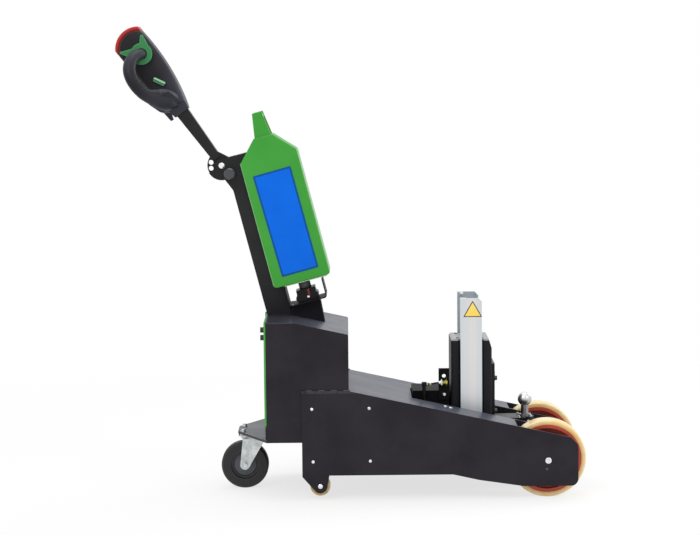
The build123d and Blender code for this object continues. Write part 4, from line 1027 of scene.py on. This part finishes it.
# Grip loops: a fat, smooth crescent of slate nylon on each side, from the throttle's hub out and down to the
# shoulder, where it widens into a wing and runs into the head. Each is moulded with its half of the head.
# The route has the place along the tiller, across it and out from its middle, then half the width and depth.
grip_route = [
    (0.3550, 0.0090, 0.0425, 0.0143, 0.0143),
    (0.3550, 0.0085, 0.0600, 0.0143, 0.0143),
    (0.3570, 0.0010, 0.0745, 0.0150, 0.0150),
    (0.3570, -0.0115, 0.0885, 0.0158, 0.0158),
    (0.3500, -0.0255, 0.1020, 0.0164, 0.0164),
    (0.3360, -0.0375, 0.1120, 0.0165, 0.0165),
    (0.3160, -0.0450, 0.1170, 0.0162, 0.0164),
    (0.2930, -0.0472, 0.1170, 0.0158, 0.0162),
    (0.2710, -0.0445, 0.1130, 0.0160, 0.0162),
    (0.2550, -0.0375, 0.1075, 0.0180, 0.0162),
    (0.2420, -0.0280, 0.0990, 0.0222, 0.0158),
    (0.2300, -0.0175, 0.0860, 0.0268, 0.0155),
    (0.2180, -0.0080, 0.0680, 0.0275, 0.0150),
    (0.2080, -0.0010, 0.0450, 0.0235, 0.0140),
    (0.2010, 0.0030, 0.0250, 0.0160, 0.0120),
]
ring_points = 28
ring_steps = 5


def smooth_route(stations, steps):
    """Stations joined by a curve that passes through every one of them."""
    rows = [Vector(station) for station in stations]
    rows = [2 * rows[0] - rows[1]] + rows + [2 * rows[-1] - rows[-2]]
    curve = []
    for before, start, end, after in zip(rows, rows[1:], rows[2:], rows[3:]):
        for step in range(steps):
            t = step / steps
            bend = (2 * before - 5 * start + 4 * end - after) * t ** 2
            bend = bend + (3 * start - before - 3 * end + after) * t ** 3
            curve.append(start + ((end - before) * t + bend) / 2)
    return curve + [rows[-2]]


def swept(stations, points):
    """A closed oval bar through stations given as a place, half a width and half a depth along Y."""
    shape = bmesh.new()
    up = Vector((1.0, 0.0, 0.0))
    rings = []
    for number, (place, width, depth) in enumerate(stations):
        ahead = stations[min(number + 1, len(stations) - 1)][0]
        behind = stations[max(number - 1, 0)][0]
        run = (ahead - behind).normalized()
        up = (up - run * up.dot(run)).normalized()
        turn = Matrix((up.cross(run), up, run)).transposed().to_4x4()
        made = bmesh.ops.create_circle(
            shape, cap_ends=number in (0, len(stations) - 1), segments=points, radius=width,
            matrix=Matrix.Translation(place) @ turn,
        )
        outward = (Vector((0.0, 1.0, 0.0)) - run * run.y).normalized()
        corners = set(made["verts"])
        for corner in corners:
            corner.co -= outward * outward.dot(corner.co - place) * (1 - depth / width)
        rings.append([edge for edge in shape.edges if set(edge.verts) <= corners])
    for first, second in zip(rings, rings[1:]):
        bmesh.ops.bridge_loops(shape, edges=first + second)
    return shape


grip_slate = (0.0068, 0.0064, 0.0086)
grip_skin = Finish("grip_skin", 0.42, Specular_IOR_Level=0.18)
grip_grain = grip_skin.noise(1500.0, 2.0)
up_grip = grip_skin.toward(pivot, tiller_along)
# Painted highlight: the grip is a lighter slate at its low wing and towards the throttle's hub.
grip_highlight = up_grip.ramp(0.225, 0.275, 0.85, 0.20)
grip_highlight = grip_highlight + up_grip.ramp(0.320, 0.372, 0.0, 0.8)
grip_tone = grip_skin.noise(30.0, 3.0).middle()
grip_skin.wear(
    Base_Color=(grip_highlight * 0.45 + grip_tone * 0.08).mix(grip_slate, (0.060, 0.061, 0.082)),
    Roughness=grip_grain.middle(0.36, 0.50),
    Normal=grip_grain.bump(0.00005),
)
for name, side in sides.items():
    stations = []
    for along, across, out, width, depth in smooth_route(grip_route, ring_steps):
        stations.append((tiller_frame @ Vector((across, side * out, along)), width, depth))
    loop = fit("grip_" + name, swept(stations, ring_points), grip_skin, "tiller")
    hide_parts("grip_loop_" + name)

# Belly pad: a curved red bumper across the end of the head, that stops the machine when it is pressed. A
# painted highlight makes its outer strip a lighter red, a painted shade darkens its inner edge, and it runs
# on guides in the head.
pad_red = Finish("pad_red", 0.42, Specular_IOR_Level=0.25)
pad_grain = pad_red.noise(1200.0, 2.0)
pad_reach = pad_red.reach(pad_centre, 1)
pad_rise = pad_reach.ramp(pad_rim - 0.0085, pad_rim - 0.0060)
pad_with_inner_shade = pad_rise.mix((0.13, 0.007, 0.008), (0.46, 0.020, 0.018))
pad_rim_highlight = pad_reach.ramp(pad_rim - 0.0030, pad_rim - 0.0010)
pad_red.wear(
    Base_Color=pad_rim_highlight.mix(pad_with_inner_shade, (0.62, 0.065, 0.055)),
    Roughness=pad_grain.middle(0.36, 0.50),
    Normal=pad_grain.bump(0.00004, 0.0022),
)
dress(pad_red, "belly_pad")

# Throttles: glossy green thumb wheels with two horns, one on each side of the head. They are moulded in one
# piece, with their edges softened, and turn on the ends of the grips.
glossy_green = Finish("glossy_green", 0.28, Coat_Weight=0.35)
# Painted highlight: the edges are lightened to a pale green.
throttle_edge_highlight = glossy_green.edges(0.0026)
glossy_green.wear(
    Base_Color=throttle_edge_highlight.mix((0.003, 0.190, 0.034), (0.10, 0.60, 0.24)),
    Roughness=glossy_green.noise(60.0, 3.0).middle(0.22, 0.36),
    Normal=glossy_green.noise(900.0, 2.0).bump(0.00003, 0.0026),
)
dress(glossy_green, "throttle_left", "throttle_right")

# Rocker: the lift's switch on the right flank of the head. Its key is moulded in two shots, a pale mint upper
# half for up and a dark green lower half for down.
rocker_slope = radians(26.0)
rocker_centre = tiller_frame @ Vector((0.002, 0.0, 0.271))
rocker_key = Finish("rocker_key", 0.32, Coat_Weight=0.2)
rocker_rise = rocker_key.toward(rocker_centre, (sin(rocker_slope), cos(rocker_slope)))
key_lower = rocker_rise.ramp(-0.0020, -0.0012)
key_upper = rocker_rise.ramp(0.0004, 0.0012)
rocker_low = key_lower.mix((0.050, 0.24, 0.11), (0.004, 0.022, 0.010))
rocker_key.wear(
    Base_Color=key_upper.mix(rocker_low, (0.33, 0.72, 0.40)),
    Roughness=rocker_key.noise(90.0, 3.0).middle(0.26, 0.40),
)
dress(rocker_key, "rocker")

# The floor is only for the picture: a plain white sweep that keeps the machine's soft shadow and fades to
# the white of the studio a few metres out.
sweep = Finish("sweep", 0.7)
spread = sweep.reach((0.0, 0.0, 0.0), 2)
paper = sweep.node("BsdfDiffuse", {}, {"Color": (0.95, 0.95, 0.95)})
white = sweep.node("Emission", {}, {"Color": (1.0, 1.0, 1.0), "Strength": 1.0})
looked_at = sweep.node("LightPath", {}, {}, "Is Camera Ray")
mirrored = sweep.node("LightPath", {}, {}, "Is Glossy Ray")
share = spread.ramp(0.9, 2.6, 0.72, 1.0)
blend = sweep.node("MixShader", {}, {0: (looked_at + mirrored) * share, 1: paper, 2: white})
sweep.tree.links.new(blend.socket, sweep.tree.nodes["Material Output"].inputs["Surface"])
floor_shape = bmesh.new()
bmesh.ops.create_grid(floor_shape, x_segments=1, y_segments=1, size=14.0)
floor_mesh = bpy.data.meshes.new("floor")
floor_shape.to_mesh(floor_mesh)
floor_shape.free()
floor = bpy.data.objects.new("floor", floor_mesh)
bpy.context.collection.objects.link(floor)
floor_mesh.materials.append(sweep.material)
